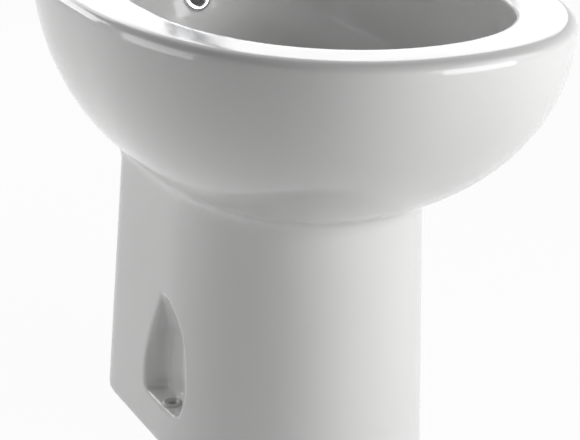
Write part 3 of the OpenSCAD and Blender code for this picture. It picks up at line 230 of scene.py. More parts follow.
class Outline:
    """A plan outline: half width, reach to the front and back of its middle, and the power of each half."""

    def __init__(self, half, front, back, middle_y, powers):
        self.half = half
        self.front = front
        self.back = back
        self.middle_y = middle_y
        self.powers = powers

    def grown(self, side, front, back):
        return Outline(self.half + side, self.front + front, self.back + back, self.middle_y, self.powers)

    def points(self, angles):
        forward = superellipse(angles, self.half, self.front, self.powers[0])
        rearward = superellipse(angles, self.half, self.back, self.powers[1])
        radius = np.where(np.sin(angles) < 0, forward, rearward)
        return np.stack([radius * np.cos(angles), self.middle_y + radius * np.sin(angles)], axis=1)


rim = Outline(BOWL_HALF_WIDTH, RIM_WIDEST, BOWL_LENGTH - RIM_WIDEST, FRONT_Y + RIM_WIDEST, RIM_POWERS)
basin_length = BOWL_LENGTH - BASIN_FRONT_RIM - TAP_DECK
basin = Outline(BASIN_HALF_WIDTH, BASIN_WIDEST, basin_length - BASIN_WIDEST,
                FRONT_Y + BASIN_FRONT_RIM + BASIN_WIDEST, BASIN_POWERS)
neck_middle = BACK_Y - NECK_BACK - NECK_STRAIGHT
neck = Outline(NECK_HALF_WIDTH, neck_middle - FRONT_Y - NECK_FRONT, NECK_STRAIGHT,
               neck_middle, PEDESTAL_POWERS)
foot_middle = BACK_Y - FOOT_BACK - FOOT_STRAIGHT
foot = Outline(FOOT_HALF_WIDTH, foot_middle - FRONT_Y - FOOT_FRONT, FOOT_STRAIGHT,
               foot_middle, PEDESTAL_POWERS)


def even_angles(outlines, count):
    """Directions whose points lie about equally far apart along the given outlines."""
    samples = 14401
    fine = np.linspace(-math.pi, math.pi, samples)
    travel = np.zeros(samples)
    for shape in outlines:
        steps = np.linalg.norm(np.diff(shape.points(fine), axis=0), axis=1)
        travel[1:] += np.cumsum(steps) / steps.sum()
    return np.interp(np.arange(count) * travel[-1] / count, travel, fine)


ring_angles = even_angles([rim, neck], RING_POINTS)


def at_height(points, z):
    return np.column_stack([points, np.full(len(points), z)])


def mixed(a, b, share):
    return a + (b - a) * share


def circle_points(r, y):
    return np.stack([r * np.cos(ring_angles), y + r * np.sin(ring_angles)], axis=1)


def swell_curve(s):
    return (1 - (1 - s) ** SWELL_POWER) ** (1 / SWELL_POWER)


def swell(u):
    start = swell_curve(SWELL_START)
    return (swell_curve(SWELL_START + (1 - SWELL_START) * u) - start) / (1 - start)


SWELL_TOP = RIM_HEIGHT - SHOULDER_DROP
BASIN_TOP = RIM_HEIGHT - LIP_R
CEILING = RIM_HEIGHT - WALL


def swell_z(u):
    return NECK_HEIGHT + (SWELL_TOP - NECK_HEIGHT) * u


def outer_rings():
    """The skin from the floor up over the rounded shoulder."""
    foot_ring = foot.points(ring_angles)
    neck_ring = neck.points(ring_angles)
    rim_ring = rim.points(ring_angles)

    def skin(z, share):
        side = mixed(foot_ring, neck_ring, min(1, z / NECK_HEIGHT))
        return at_height(mixed(side, rim_ring, share), z)

    side_top = NECK_HEIGHT - NECK_FILLET
    rings = [skin(z, 0) for z in np.linspace(0, side_top, SIDE_LAYERS, endpoint=False)]
    for t in np.linspace(0, 1, FILLET_LAYERS + 1):
        z = (1 - t) ** 2 * side_top + 2 * t * (1 - t) * NECK_HEIGHT + t * t * swell_z(FILLET_END)
        rings.append(skin(z, t * t * swell(FILLET_END)))
    for i in range(1, SWELL_LAYERS + 1):
        u = FILLET_END + (1 - FILLET_END) * (i / SWELL_LAYERS) ** SWELL_SPACING
        rings.append(skin(swell_z(u), swell(u)))
    for a in np.radians(np.linspace(0, 90, ROUNDING_LAYERS + 1)[1:]):
        side = -SHOULDER_SIDE * (1 - math.cos(a))
        front = -SHOULDER_FRONT * (1 - math.cos(a))
        shape = rim.grown(side, front, side)
        rings.append(at_height(shape.points(ring_angles), SWELL_TOP + SHOULDER_DROP * math.sin(a)))
    return rings


def basin_share(b):
    """Share of the depth and of the width at an angle b down the basin."""
    return math.sin(b) ** (2 / BASIN_WALL_POWER), math.cos(b)


def basin_rings():
    """The lip, and the basin's wall down to the circle round the waste."""
    rings = []
    for a in np.radians(np.linspace(0, 90, ROUNDING_LAYERS + 1)):
        inset = LIP_R * (1 - math.sin(a))
        shape = basin.grown(inset, inset, inset)
        rings.append(at_height(shape.points(ring_angles), RIM_HEIGHT - LIP_R * (1 - math.cos(a))))
    floor_ring = circle_points(DRAIN_CIRCLE_R, DRAIN_Y)
    wall_ring = basin.points(ring_angles)
    for b in np.radians(90 * np.linspace(0, 1, BASIN_LAYERS + 1)[1:] ** BASIN_SPACING):
        depth, width = basin_share(b)
        z = BASIN_TOP - (BASIN_TOP - DRAIN_Z) * depth
        rings.append(at_height(mixed(floor_ring, wall_ring, width), z))
    return rings


def hollow_rings():
    """The space between the two skins, from over the drain round and down to the floor."""
    drain_ring = circle_points(DRAIN_CIRCLE_R, DRAIN_Y)
    wall_ring = basin.grown(WALL, WALL, WALL).points(ring_angles)
    rings = []
    for b in np.radians(np.linspace(90, 0, HOLLOW_BASIN_LAYERS + 1)):
        depth, width = basin_share(b)
        z = CEILING - (CEILING - DRAIN_Z + WALL) * depth
        rings.append(at_height(mixed(drain_ring, wall_ring, width), z))
    neck_ring = neck.grown(-WALL, -WALL, -WALL).points(ring_angles)
    rim_ring = rim.grown(-WALL, -WALL, -WALL).points(ring_angles)
    foot_ring = foot.grown(-WALL, -WALL, -WALL).points(ring_angles)
    neck_z = NECK_HEIGHT + HOLLOW_NECK_RISE
    for i in range(HOLLOW_SIDE_LAYERS, -1, -1):
        u = (i / HOLLOW_SIDE_LAYERS) ** HOLLOW_SPACING
        rings.append(at_height(mixed(neck_ring, rim_ring, swell(u)), mixed(neck_z, CEILING, u)))
    rings.append(at_height(foot_ring, 0))
    return rings


# Meshes
def new_object(name, mesh):
    piece = bpy.data.objects.new(name, mesh)
    bpy.context.scene.collection.objects.link(piece)
    return piece


def closed_mesh(name, points, faces, weld=False):
    """A mesh with its faces turned outwards, and with its doubled points welded if asked."""
    mesh = bpy.data.meshes.new(name)
    mesh.from_pydata(points.reshape(-1, 3).tolist(), [], faces)
    tidy = bmesh.new()
    tidy.from_mesh(mesh)
    if weld:
        bmesh.ops.remove_doubles(tidy, verts=tidy.verts, dist=SEAM_WELD)
    bmesh.ops.recalc_face_normals(tidy, faces=tidy.faces)
    tidy.to_mesh(mesh)
    tidy.free()
    return mesh


def stack_mesh(name, rings):
    """One closed mesh through a stack of equally long rings, given in millimetres."""
    points = np.asarray(rings, float) * MM
    layers, count = points.shape[:2]
    below = np.arange(layers * count).reshape(layers, count)
    beside = np.roll(below, -1, axis=1)
    quads = np.stack([below[:-1], beside[:-1], beside[1:], below[1:]], axis=-1).reshape(-1, 4)
    caps = [below[0][::-1].tolist(), below[-1].tolist()]
    return closed_mesh(name, points, quads.tolist() + caps)


def circle(r, count):
    turn = np.linspace(0, 2 * math.pi, count, endpoint=False)
    return np.stack([r * np.cos(turn), r * np.sin(turn)], axis=1)


def rod_rings(start, end, r, count=PLAIN_ROUND):
    """Two rings of a round rod from start to end."""
    start = np.array(start, float)
    end = np.array(end, float)
    turn = np.array(Vector(end - start).to_track_quat("Z", "Y").to_matrix())
    flat = np.column_stack([circle(r, count), np.zeros(count)]) @ turn.T
    return [start + flat, end + flat]


def tube_rings(points, r):
    """Rings along a smooth path in the plane x = 0, given as [y, z]."""
    points = np.array(points, float)
    ahead = np.gradient(points, axis=0)
    ahead /= np.linalg.norm(ahead, axis=1)[:, None]
    turn = circle(r, TUBE_ROUND)
    rings = []
    for (y, z), (ay, az) in zip(points, ahead):
        rings.append(np.column_stack([turn[:, 0], y - az * turn[:, 1], z + ay * turn[:, 1]]))
    return rings


def arch_rings(width, bottom, top, from_x, to_x):
    """Two rings of an arch-shaped prism along x, about the niche's middle."""
    r = width / 2
    turn = np.linspace(0, math.pi, ARCH_POINTS)
    y = np.concatenate([r * np.cos(turn), [-r, r]])
    z = np.concatenate([top - r + r * np.sin(turn), np.full(2, bottom)])
    return [np.column_stack([np.full(len(y), x), NICHE_Y + y, z]) for x in (from_x, to_x)]


def revolve_mesh(name, profile, count=FINE_ROUND):
    """A solid of revolution about z through a closed profile of [radius, height], in millimetres."""
    profile = np.array(profile, float)
    turn = np.linspace(0, 2 * math.pi, count, endpoint=False)
    points = np.stack([np.outer(np.cos(turn), profile[:, 0]), np.outer(np.sin(turn), profile[:, 0]),
                       np.tile(profile[:, 1], (count, 1))], axis=-1) * MM
    index = np.arange(count * len(profile)).reshape(count, len(profile))
    beside = np.roll(index, -1, axis=0)
    above = np.roll(index, -1, axis=1)
    quads = np.stack([index, beside, np.roll(beside, -1, axis=1), above], axis=-1).reshape(-1, 4)
    return closed_mesh(name, points, quads.tolist(), weld=True)


def curve_points(start, bend, end, steps):
    """Points along a curve from start to end that heads for bend."""
    start, bend, end = np.array([start, bend, end])
    t = np.linspace(0, 1, steps + 1)[:, None]
    return ((1 - t) ** 2 * start + 2 * t * (1 - t) * bend + t * t * end).tolist()


def combine(body, tool_mesh, operation):
    """Adds a boolean step that joins a tool to the body or cuts it away."""
    tool = new_object(f"tool_{len(body.modifiers)}", tool_mesh)
    tool.hide_render = True
    step = body.modifiers.new(operation.title(), "BOOLEAN")
    step.operation = operation
    step.solver = "MANIFOLD"
    step.object = tool
    return tool


def settle(body, tools=()):
    """Applies the body's modifiers, and removes the tools that they used."""
    bpy.context.view_layer.update()
    graph = bpy.context.evaluated_depsgraph_get()
    mesh = bpy.data.meshes.new_from_object(body.evaluated_get(graph))
    body.modifiers.clear()
    body.data = mesh
    for tool in tools:
        bpy.data.objects.remove(tool)


def add_softening(body, voxel, passes):
    """Remeshes evenly and rounds every edge a little, as glaze and polish do."""
    remesh = body.modifiers.new("Even", "REMESH")
    remesh.mode = "VOXEL"
    remesh.voxel_size = voxel * MM
    smooth = body.modifiers.new("Round", "SMOOTH")
    smooth.factor = 0.5
    smooth.iterations = passes


def shade(mesh, angle=None):
    mesh.shade_smooth()
    if angle is not None:
        mesh.set_sharp_from_angle(angle=math.radians(angle))


# Basin's back wall in the plane x = 0, where the overflow and its duct lie
BASIN_BACK_Y = FRONT_Y + BASIN_FRONT_RIM + basin_length


def back_point(b):
    depth, width = basin_share(b)
    return np.array([DRAIN_Y + DRAIN_CIRCLE_R + (BASIN_BACK_Y - DRAIN_Y - DRAIN_CIRCLE_R) * width,
                     BASIN_TOP - (BASIN_TOP - DRAIN_Z) * depth])


def back_normal(b):
    step = 0.017
    d = back_point(b - step) - back_point(b + step)
    return np.array([d[1], -d[0]]) / np.linalg.norm(d)


overflow_share = (BASIN_TOP - RIM_HEIGHT + OVERFLOW_DROP) / (BASIN_TOP - DRAIN_Z)
overflow_b = math.asin(overflow_share ** (BASIN_WALL_POWER / 2))
overflow_point = back_point(overflow_b)
overflow_normal = -back_normal(overflow_b)


def on_overflow(distance):
    """A point on the overflow's axis, that far out of the wall into the basin."""
    y, z = overflow_point + overflow_normal * distance
    return [0, y, z]


def duct_path():
    """The duct's middle line, from behind the overflow down the basin's back to the waste's side."""
    end_z = DRAIN_Z - DRAIN_BOSS + DUCT_END_RISE
    bends = (overflow_b, *np.radians(DUCT_ANGLES))
    stops = [back_point(b) + DUCT_OFFSET * back_normal(b) for b in bends]
    stops += [[DRAIN_Y + BOSS_R - WALL, end_z + DUCT_LAST_FALL], [DRAIN_Y + WASTE_HOLE_R / 2, end_z]]
    stops = np.array(stops)
    travel = np.concatenate([[0], np.cumsum(np.linalg.norm(np.diff(stops, axis=0), axis=1))])
    even = np.linspace(0, travel[-1], DUCT_STEPS)
    path = np.stack([np.interp(even, travel, stops[:, i]) for i in range(2)], axis=1)
    for _ in range(DUCT_SMOOTHING):
        path[1:-1] = (path[:-2] + 2 * path[1:-1] + path[2:]) / 4
    return path


def back_opening_mesh():
    """The opening in the back, up to the space under the tap deck, as a stack along y."""
    turn = np.linspace(0, math.pi / 2, CORNER_POINTS)

    def slice_at(y, top):
        r = min(BACK_OPENING_R, top / 2)
        corner_x = BACK_OPENING_HALF - r + r * np.cos(turn)
        corner_z = top - r + r * np.sin(turn)
        x = np.concatenate([corner_x, -corner_x[::-1], [-BACK_OPENING_HALF, BACK_OPENING_HALF]])
        z = np.concatenate([corner_z, corner_z[::-1], [-1, -1]])
        return np.column_stack([x, np.full(len(x), y), z])

    pedestal_top = NECK_HEIGHT - BACK_OPENING_DROP
    slices = [slice_at(y, pedestal_top) for y in (DRAIN_Y, DRAIN_Y + BOSS_R + BOSS_CLEAR)]
    for b in np.radians(BACK_OPENING_ANGLES):
        y, z = back_point(b) + BASIN_CLEAR * back_normal(b)
        slices.append(slice_at(y, z))
    slices.append(slice_at(BASIN_BACK_Y + BASIN_CLEAR, DECK_OPENING_TOP))
    slices.append(slice_at(BACK_Y + 2, DECK_OPENING_TOP))
    return stack_mesh("back_opening", slices)


def half_width(shape, y):
    """Half width of an outline at a place along y."""
    ahead = y < shape.middle_y
    reach = shape.front if ahead else shape.back
    power = shape.powers[0] if ahead else shape.powers[1]
    return shape.half * (1 - (abs(y - shape.middle_y) / reach) ** power) ** (1 / power)


def side_x(y, z):
    """Distance from the middle plane to the pedestal's side."""
    return mixed(half_width(foot, y), half_width(neck, y), z / NECK_HEIGHT)


def share_between(value, start, end):
    """Share of the way from start to end, kept within 0 and 1."""
    return min(1, max(0, (value - start) / (end - start)))


def smooth(t):
    t = share_between(t, 0, 1)
    return t * t * (3 - 2 * t)


def niche_reach(z):
    """How far the niche's mouth reaches to the front and to the rear of its middle at a height."""
    half = NICHE_WIDTH / 2
    top = NICHE_SILL + NICHE_HEIGHT
    rear = half * (1 - share_between(z, NICHE_REAR_LEAN_Z, top) ** NICHE_REAR_POWER)
    front = half * (1 - share_between(z, NICHE_FRONT_ARCH_Z, top) ** 2) ** NICHE_ARCH_POWER
    foot_share = share_between(z, NICHE_FRONT_FOOT_Z, NICHE_SILL)
    front -= NICHE_FRONT_FOOT_Y * (1 - math.sqrt(1 - foot_share ** 2))
    return front, rear


def niche_ring(side, z, depth):
    """A slice of the niche: its back, round into the sides, and a return outside the pedestal."""
    front, rear = niche_reach(z)
    inner = []
    outer = []
    for t in np.linspace(-1, 1, NICHE_SLICE_POINTS):
        across = math.sin(t * math.pi / 2)
        share = abs(across)
        if t < 0:
            y = NICHE_Y + front * across
            edge = (1 - share ** NICHE_EDGE_POWER) ** NICHE_EDGE_ROUND
        else:
            y = NICHE_Y + (rear + NICHE_LEAST_REACH) * across
            edge = smooth((1 - share) / NICHE_REAR_SOFTNESS)
        skin_x = side_x(y, z)
        inner.append([side * (skin_x + NICHE_START - (depth + NICHE_START) * edge), y, z])
        outer.append([side * (skin_x + NICHE_CLEAR), y, z])
    return np.array(inner + outer[::-1])


def niche_rings(side):
    """The niche from the sloping lip of its ledge up to where it fades out."""
    top = NICHE_SILL + NICHE_HEIGHT
    full = side_x(NICHE_Y, NICHE_SILL) - NICHE_DEPTH_X
    rings = []
    for t in np.linspace(0, 1, NICHE_LIP_LAYERS + 1):
        rings.append(niche_ring(side, NICHE_SILL - NICHE_LIP_DROP * (1 - t), NICHE_LIP_DEPTH * t))
    for t in np.linspace(0, math.pi / 2, NICHE_FILLET_LAYERS + 1):
        z = NICHE_SILL + NICHE_FILLET * (1 - math.cos(t))
        rings.append(niche_ring(side, z, full - NICHE_FILLET * (1 - math.sin(t))))
    for z in np.linspace(NICHE_SILL + NICHE_FILLET, top, NICHE_LAYERS + 1)[1:]:
        deep = side_x(NICHE_Y, z) - NICHE_DEPTH_X
        fade = min(1, (top - z) / (top - NICHE_FADE_Z)) ** NICHE_FADE_POWER
        rings.append(niche_ring(side, z, deep * fade))
    return rings


def heel_mesh():
    """What the rounded lower rear corners leave out, as a bar along x."""
    rear = BACK_Y - FOOT_BACK
    past = [rear + HEEL_CLEAR, rear + HEEL_CLEAR]
    turn = np.linspace(0, math.pi / 2, CORNER_POINTS)
    y = np.concatenate([past, rear + 1 - HEEL_LENGTH * (1 - np.cos(turn)), [rear + 1 - HEEL_LENGTH]])
    z = np.concatenate([[-HEEL_CLEAR, HEEL_HEIGHT], HEEL_HEIGHT * (1 - np.sin(turn)), [-HEEL_CLEAR]])
    ends = (-BOWL_HALF_WIDTH, BOWL_HALF_WIDTH)
    return stack_mesh("heel", [np.column_stack([np.full(len(y), x), y, z]) for x in ends])


def niche_block_rings(side):
    """The niche's walls inside the pedestal, following its taper."""
    inner, outer = arch_rings(NICHE_WIDTH + 2 * NICHE_WALL, NICHE_SILL - NICHE_WALL,
                              NICHE_SILL + NICHE_HEIGHT + NICHE_WALL, side * (NICHE_DEPTH_X - NICHE_WALL), 0)
    taper = (FOOT_HALF_WIDTH - NECK_HALF_WIDTH) / NECK_HEIGHT
    outer[:, 0] = side * (FOOT_HALF_WIDTH - NICHE_INSET - taper * outer[:, 2])
    return [inner, outer]


def upright_rings(x, y, low, high, r, count=PLAIN_ROUND):
    """Two rings of an upright round bar."""
    return rod_rings([x, y, low], [x, y, high], r, count)


def ceramic_steps():
    """What the ceramic's skins get, in order: the back opening, then joined walls, then cuts."""
    boss_z = DRAIN_Z - DRAIN_BOSS
    duct = duct_path()
    behind = on_overflow(-DUCT_OFFSET - OVERFLOW_WALL_PAST)
    within = on_overflow(-OVERFLOW_WALL_START)
    basin_side = on_overflow(OVERFLOW_CLEAR)
    walls = [("niche_block", niche_block_rings(side)) for side in (-1, 1)]
    walls += [
        ("boss", upright_rings(0, DRAIN_Y, boss_z, DRAIN_Z - 1, BOSS_R, FINE_ROUND)),
        ("duct_wall", tube_rings(duct, DUCT_R + DUCT_WALL)),
        ("overflow_wall", rod_rings(behind, within, OVERFLOW_HOLE_R + DUCT_WALL)),
    ]
    cuts = []
    for side in (-1, 1):
        bush_hole = upright_rings(side * FIXING_X, NICHE_Y, -1, NICHE_SILL + 1, BUSH_HOLE_R)
        cuts += [("niche", niche_rings(side)), ("bush_hole", bush_hole)]
    cuts += [
        ("recess", upright_rings(0, DRAIN_Y, DRAIN_Z - RECESS_DEPTH, DRAIN_Z + RECESS_CLEAR,
                                 RECESS_R, FINE_ROUND)),
        ("waste_hole", upright_rings(0, DRAIN_Y, boss_z - 1, DRAIN_Z, WASTE_HOLE_R, FINE_ROUND)),
        ("duct", tube_rings(duct, DUCT_R)),
        ("overflow_hole", rod_rings(on_overflow(-DUCT_OFFSET), basin_side, OVERFLOW_HOLE_R)),
        ("ring_seat", rod_rings(on_overflow(0), basin_side, OVERFLOW_RING_R + OVERFLOW_RING_PLAY)),
        ("tap_hole", upright_rings(0, TAP_Y, CEILING - 1, RIM_HEIGHT + 1, TAP_HOLE_R)),
    ]
    steps = [(back_opening_mesh(), "DIFFERENCE")]
    steps += [(stack_mesh(name, rings), "UNION") for name, rings in walls]
    steps.append((heel_mesh(), "DIFFERENCE"))
    steps += [(stack_mesh(name, rings), "DIFFERENCE") for name, rings in cuts]
    return steps


def ceramic_body():
    """The ceramic as one piece, glazed outside and in the basin, bare in its hollow and underneath."""
    hollow = hollow_rings()
    loft = stack_mesh("ceramic", hollow + outer_rings() + basin_rings())
    regions = BVHTree.FromPolygons([v.co for v in loft.vertices], [p.vertices for p in loft.polygons])
    hollow_faces = (len(hollow) - 1) * RING_POINTS
    body = new_object("ceramic", loft)
    tools = [combine(body, mesh, operation) for mesh, operation in ceramic_steps()]
    add_softening(body, CERAMIC_VOXEL, CERAMIC_PASSES)
    settle(body, tools)
    shade(body.data)
    body.data.materials.clear()
    body.data.materials.append(glaze)
    body.data.materials.append(bisque)
    for face in body.data.polygons:
        x, y, z = face.center / MM
        along_niche = abs(y - NICHE_Y) < NICHE_WIDTH / 2 + GLAZE_MARGIN
        at_niche = along_niche and abs(x) > NICHE_DEPTH_X - GLAZE_MARGIN and z > NICHE_SILL - GLAZE_MARGIN
        nearest = regions.find_nearest(face.center)[2]
        if z < 1 or (nearest < hollow_faces and not at_niche):
            face.material_index = 1
    return body


# Materials
METAL_SHADE = 0.94
PLASTIC_SHADE = 0.95
# Most of a noise pattern lies between these values
NOISE_LOW = 0.3
NOISE_HIGH = 0.7


def new_material(name, color, roughness, metallic=0.0):
    """A principled material with its shader and a mapping of object coordinates."""
    made = bpy.data.materials.new(name)
    made.use_nodes = True
    tree = made.node_tree
    shader = tree.nodes["Principled BSDF"]
    shader.inputs["Base Color"].default_value = (*color, 1)
    shader.inputs["Roughness"].default_value = roughness
    shader.inputs["Metallic"].default_value = metallic
    place = tree.nodes.new("ShaderNodeTexCoord")
    return made, tree, shader, place.outputs["Object"]


def noise(tree, where, scale, detail, stretch=None):
    """A noise pattern in object space, in features per metre, stretched along an axis if asked."""
    if stretch is not None:
        mapping = tree.nodes.new("ShaderNodeMapping")
        mapping.inputs["Scale"].default_value = stretch
        tree.links.new(where, mapping.inputs["Vector"])
        where = mapping.outputs["Vector"]
    pattern = tree.nodes.new("ShaderNodeTexNoise")
    pattern.inputs["Scale"].default_value = scale
    pattern.inputs["Detail"].default_value = detail
    tree.links.new(where, pattern.inputs["Vector"])
    return pattern.outputs["Fac"]


def span(tree, value, low, high):
    """Maps a noise pattern to low..high."""
    node = tree.nodes.new("ShaderNodeMapRange")
    node.inputs["From Min"].default_value = NOISE_LOW
    node.inputs["From Max"].default_value = NOISE_HIGH
    node.inputs["To Min"].default_value = low
    node.inputs["To Max"].default_value = high
    tree.links.new(value, node.inputs["Value"])
    return node.outputs["Result"]


def tint(tree, value, first, second):
    """A colour between two, by a pattern."""
    node = tree.nodes.new("ShaderNodeMix")
    node.data_type = "RGBA"
    node.inputs["A"].default_value = (*first, 1)
    node.inputs["B"].default_value = (*second, 1)
    tree.links.new(value, node.inputs["Factor"])
    return node.outputs["Result"]


def relief(tree, shader, value, distance, strength):
    """Bump from a pattern, its depth in metres."""
    node = tree.nodes.new("ShaderNodeBump")
    node.inputs["Distance"].default_value = distance
    node.inputs["Strength"].default_value = strength
    tree.links.new(value, node.inputs["Height"])
    tree.links.new(node.outputs["Normal"], shader.inputs["Normal"])


def make_glaze():
    made, tree, shader, where = new_material("glaze", (0.8, 0.8, 0.8), 0.12)
    tree.links.new(tint(tree, noise(tree, where, 7, 3), (0.75, 0.75, 0.745), (0.78, 0.78, 0.775)),
                   shader.inputs["Base Color"])
    tree.links.new(span(tree, noise(tree, where, 60, 4), 0.09, 0.15), shader.inputs["Roughness"])
    relief(tree, shader, noise(tree, where, 55, 1), 0.00012, 0.35)
    return made


def make_bisque():
    made, tree, shader, where = new_material("bisque", (0.72, 0.71, 0.69), 0.85)
    tree.links.new(tint(tree, noise(tree, where, 40, 5), (0.66, 0.65, 0.63), (0.76, 0.75, 0.73)),
                   shader.inputs["Base Color"])
    tree.links.new(span(tree, noise(tree, where, 300, 3), 0.75, 0.95), shader.inputs["Roughness"])
    relief(tree, shader, noise(tree, where, 900, 3), 0.0003, 0.5)
    return made


def make_metal(name, color, smooth, rough, scale, stretch=None, depth=0.00002):
    made, tree, shader, where = new_material(name, color, smooth, 1.0)
    grain = noise(tree, where, scale, 4, stretch)
    tree.links.new(span(tree, grain, smooth, rough), shader.inputs["Roughness"])
    darker = tuple(c * METAL_SHADE for c in color)
    tree.links.new(tint(tree, noise(tree, where, 25, 2), darker, color), shader.inputs["Base Color"])
    relief(tree, shader, grain, depth, 0.5)
    return made


def make_plastic(name, color, smooth, rough):
    made, tree, shader, where = new_material(name, color, smooth)
    darker = tuple(c * PLASTIC_SHADE for c in color)
    tree.links.new(tint(tree, noise(tree, where, 30, 3), darker, color), shader.inputs["Base Color"])
    tree.links.new(span(tree, noise(tree, where, 120, 3), smooth, rough), shader.inputs["Roughness"])
    relief(tree, shader, noise(tree, where, 1500, 2), 0.00003, 0.4)
    return made


def make_rubber():
    made, tree, shader, where = new_material("rubber_black", (0.03, 0.03, 0.03), 0.75)
    tree.links.new(tint(tree, noise(tree, where, 200, 4), (0.022, 0.022, 0.023), (0.045, 0.045, 0.046)),
                   shader.inputs["Base Color"])
    tree.links.new(span(tree, noise(tree, where, 700, 2), 0.65, 0.85), shader.inputs["Roughness"])
    relief(tree, shader, noise(tree, where, 2500, 2), 0.00006, 0.5)
    return made


def make_index():
    """Hot on the left and cold on the right, as on any mixer."""
    made, tree, shader, where = new_material("index_mark", (0.6, 0.6, 0.62), 0.25)
    parts = tree.nodes.new("ShaderNodeSeparateXYZ")
    tree.links.new(where, parts.inputs["Vector"])
    side = tree.nodes.new("ShaderNodeMath")
    side.operation = "GREATER_THAN"
    side.inputs[1].default_value = 0
    tree.links.new(parts.outputs["X"], side.inputs[0])
    tree.links.new(tint(tree, side.outputs["Value"], (0.45, 0.02, 0.02), (0.02, 0.08, 0.4)),
                   shader.inputs["Base Color"])
    tree.links.new(span(tree, noise(tree, where, 200, 2), 0.2, 0.3), shader.inputs["Roughness"])
    return made


glaze = make_glaze()
bisque = make_bisque()
chrome = make_metal("chrome_polished", (0.82, 0.83, 0.85), 0.03, 0.07, 35)
steel = make_metal("steel_brushed", (0.62, 0.62, 0.63), 0.24, 0.38, 900, (1, 1, 0.06), 0.00004)
brass = make_metal("brass_turned", (0.72, 0.55, 0.28), 0.22, 0.34, 1200, (0.15, 0.15, 1), 0.00004)
white_plastic = make_plastic("plastic_white", (0.8, 0.8, 0.79), 0.25, 0.38)
grey_plastic = make_plastic("plastic_pale", (0.7, 0.7, 0.69), 0.4, 0.55)
bush_plastic = make_plastic("plastic_bush", (0.62, 0.62, 0.61), 0.4, 0.55)
rubber = make_rubber()
index_mark = make_index()

finishes = {
    "glazed_ceramic": glaze,
    "chrome": chrome,
    "steel": steel,
    "brass": brass,
    "white_plastic": white_plastic,
    "cartridge_plastic": grey_plastic,
    "bush_plastic": bush_plastic,
    "rubber": rubber,
    "index": index_mark,
}
slot_of = {part["node"]: part["material_slot"] for part in frame["record"]["subparts"]}
bodies = frame["record"]["behaviour"]["bodies"]
body_of = {node: body for body, members in bodies.items() for node in members}


def stand_for(piece, *names):
    """Makes a piece take the place and body of CAD nodes."""
    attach(piece, body_of[names[0]])
    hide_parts(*names)


def finish_copy(piece, node, sharp_angle):
    """Applies a copy's modifiers, gives it its node's finish and lets it stand for the node."""
    settle(piece)
    piece.data.materials.clear()
    piece.data.materials.append(finishes[slot_of[node]])
    shade(piece.data, sharp_angle)
    stand_for(piece, node)


def softened(node, voxel, passes):
    """A copy of a CAD node with its edges rounded."""
    piece = new_object(f"{node}_soft", nodes[node].data.copy())
    add_softening(piece, voxel, passes)
    finish_copy(piece, node, SHARP_WHEN_SOFT)


def bevelled(node, width):
    """A copy of a CAD node with its sharp edges broken."""
    piece = new_object(f"{node}_edged", nodes[node].data.copy())
    tidy = bmesh.new()
    tidy.from_mesh(piece.data)
    bmesh.ops.remove_doubles(tidy, verts=tidy.verts, dist=COPY_WELD)
    bmesh.ops.dissolve_limit(tidy, angle_limit=math.radians(1), verts=tidy.verts, edges=tidy.edges)
    tidy.to_mesh(piece.data)
    tidy.free()
    bevel = piece.modifiers.new("Edges", "BEVEL")
    bevel.width = width * MM
    bevel.segments = 2
    bevel.limit_method = "ANGLE"
    bevel.angle_limit = math.radians(BROKEN_FROM)
    finish_copy(piece, node, SHARP_WHEN_BROKEN)


def overflow_ring():
    """A rounded chrome ring with its sleeve."""
    inner = OVERFLOW_RING_BORE_R
    outer = OVERFLOW_RING_R
    middle = (inner + outer) / 2
    front = OVERFLOW_RING_T
    sleeve = OVERFLOW_HOLE_R - OVERFLOW_SLEEVE_PLAY
    profile = [[inner, -OVERFLOW_SLEEVE], [sleeve, -OVERFLOW_SLEEVE], [sleeve, 0], [outer, 0]]
    profile += curve_points([outer, OVERFLOW_RING_OUTER_EDGE], [outer, front], [middle, front], 10)
    profile += curve_points([middle, front], [inner, front], [inner, OVERFLOW_RING_INNER_EDGE], 10)[1:]
    mesh = revolve_mesh("overflow_chrome", profile)
    facing = Vector((0, *overflow_normal)).to_track_quat("Z", "Y").to_matrix().to_4x4()
    mesh.transform(Matrix.Translation(Vector(on_overflow(0)) * MM) @ facing)
    mesh.materials.append(chrome)
    shade(mesh, SHARP_WHEN_TURNED)
    stand_for(new_object("overflow_chrome", mesh), "overflow_ring")


def fixing_bushes():
    """A flanged bush in each niche's ledge, with a countersunk mouth."""
    foot_z = NICHE_SILL - NICHE_WALL
    top = NICHE_SILL + BUSH_FLANGE_T
    shank = BUSH_HOLE_R - BUSH_PLAY
    profile = [[BUSH_BORE_R, foot_z], [shank, foot_z], [shank, NICHE_SILL], [BUSH_FLANGE_R, NICHE_SILL]]
    profile += curve_points([BUSH_FLANGE_R, NICHE_SILL + BUSH_FLANGE_EDGE], [BUSH_FLANGE_TOP_R, top],
                            [BUSH_FLANGE_TOP_R - 1, top], 6)
    profile += [[BUSH_MOUTH_R, top], [BUSH_BORE_R, top - BUSH_SINK]]
    pair = bmesh.new()
    for side in (-1, 1):
        bush = revolve_mesh("bush", profile, PLAIN_ROUND)
        bush.transform(Matrix.Translation(Vector((side * FIXING_X, NICHE_Y, 0)) * MM))
        pair.from_mesh(bush)
    mesh = bpy.data.meshes.new("niche_bushes")
    pair.to_mesh(mesh)
    pair.free()
    mesh.materials.append(bush_plastic)
    shade(mesh, SHARP_WHEN_TURNED)
    stand_for(new_object("niche_bushes", mesh), "fixing_bushes")


# Stage: a white floor, soft boxes and the camera
PHOTO_WIDTH = 580
CAMERA_FOCAL_PX = 1665.27
CAMERA_SENSOR = 36
camera_place = Vector((-578.6, -1178.0, 673.1)) * MM
camera_look = Vector((0.4147, 0.8439, -0.3405))

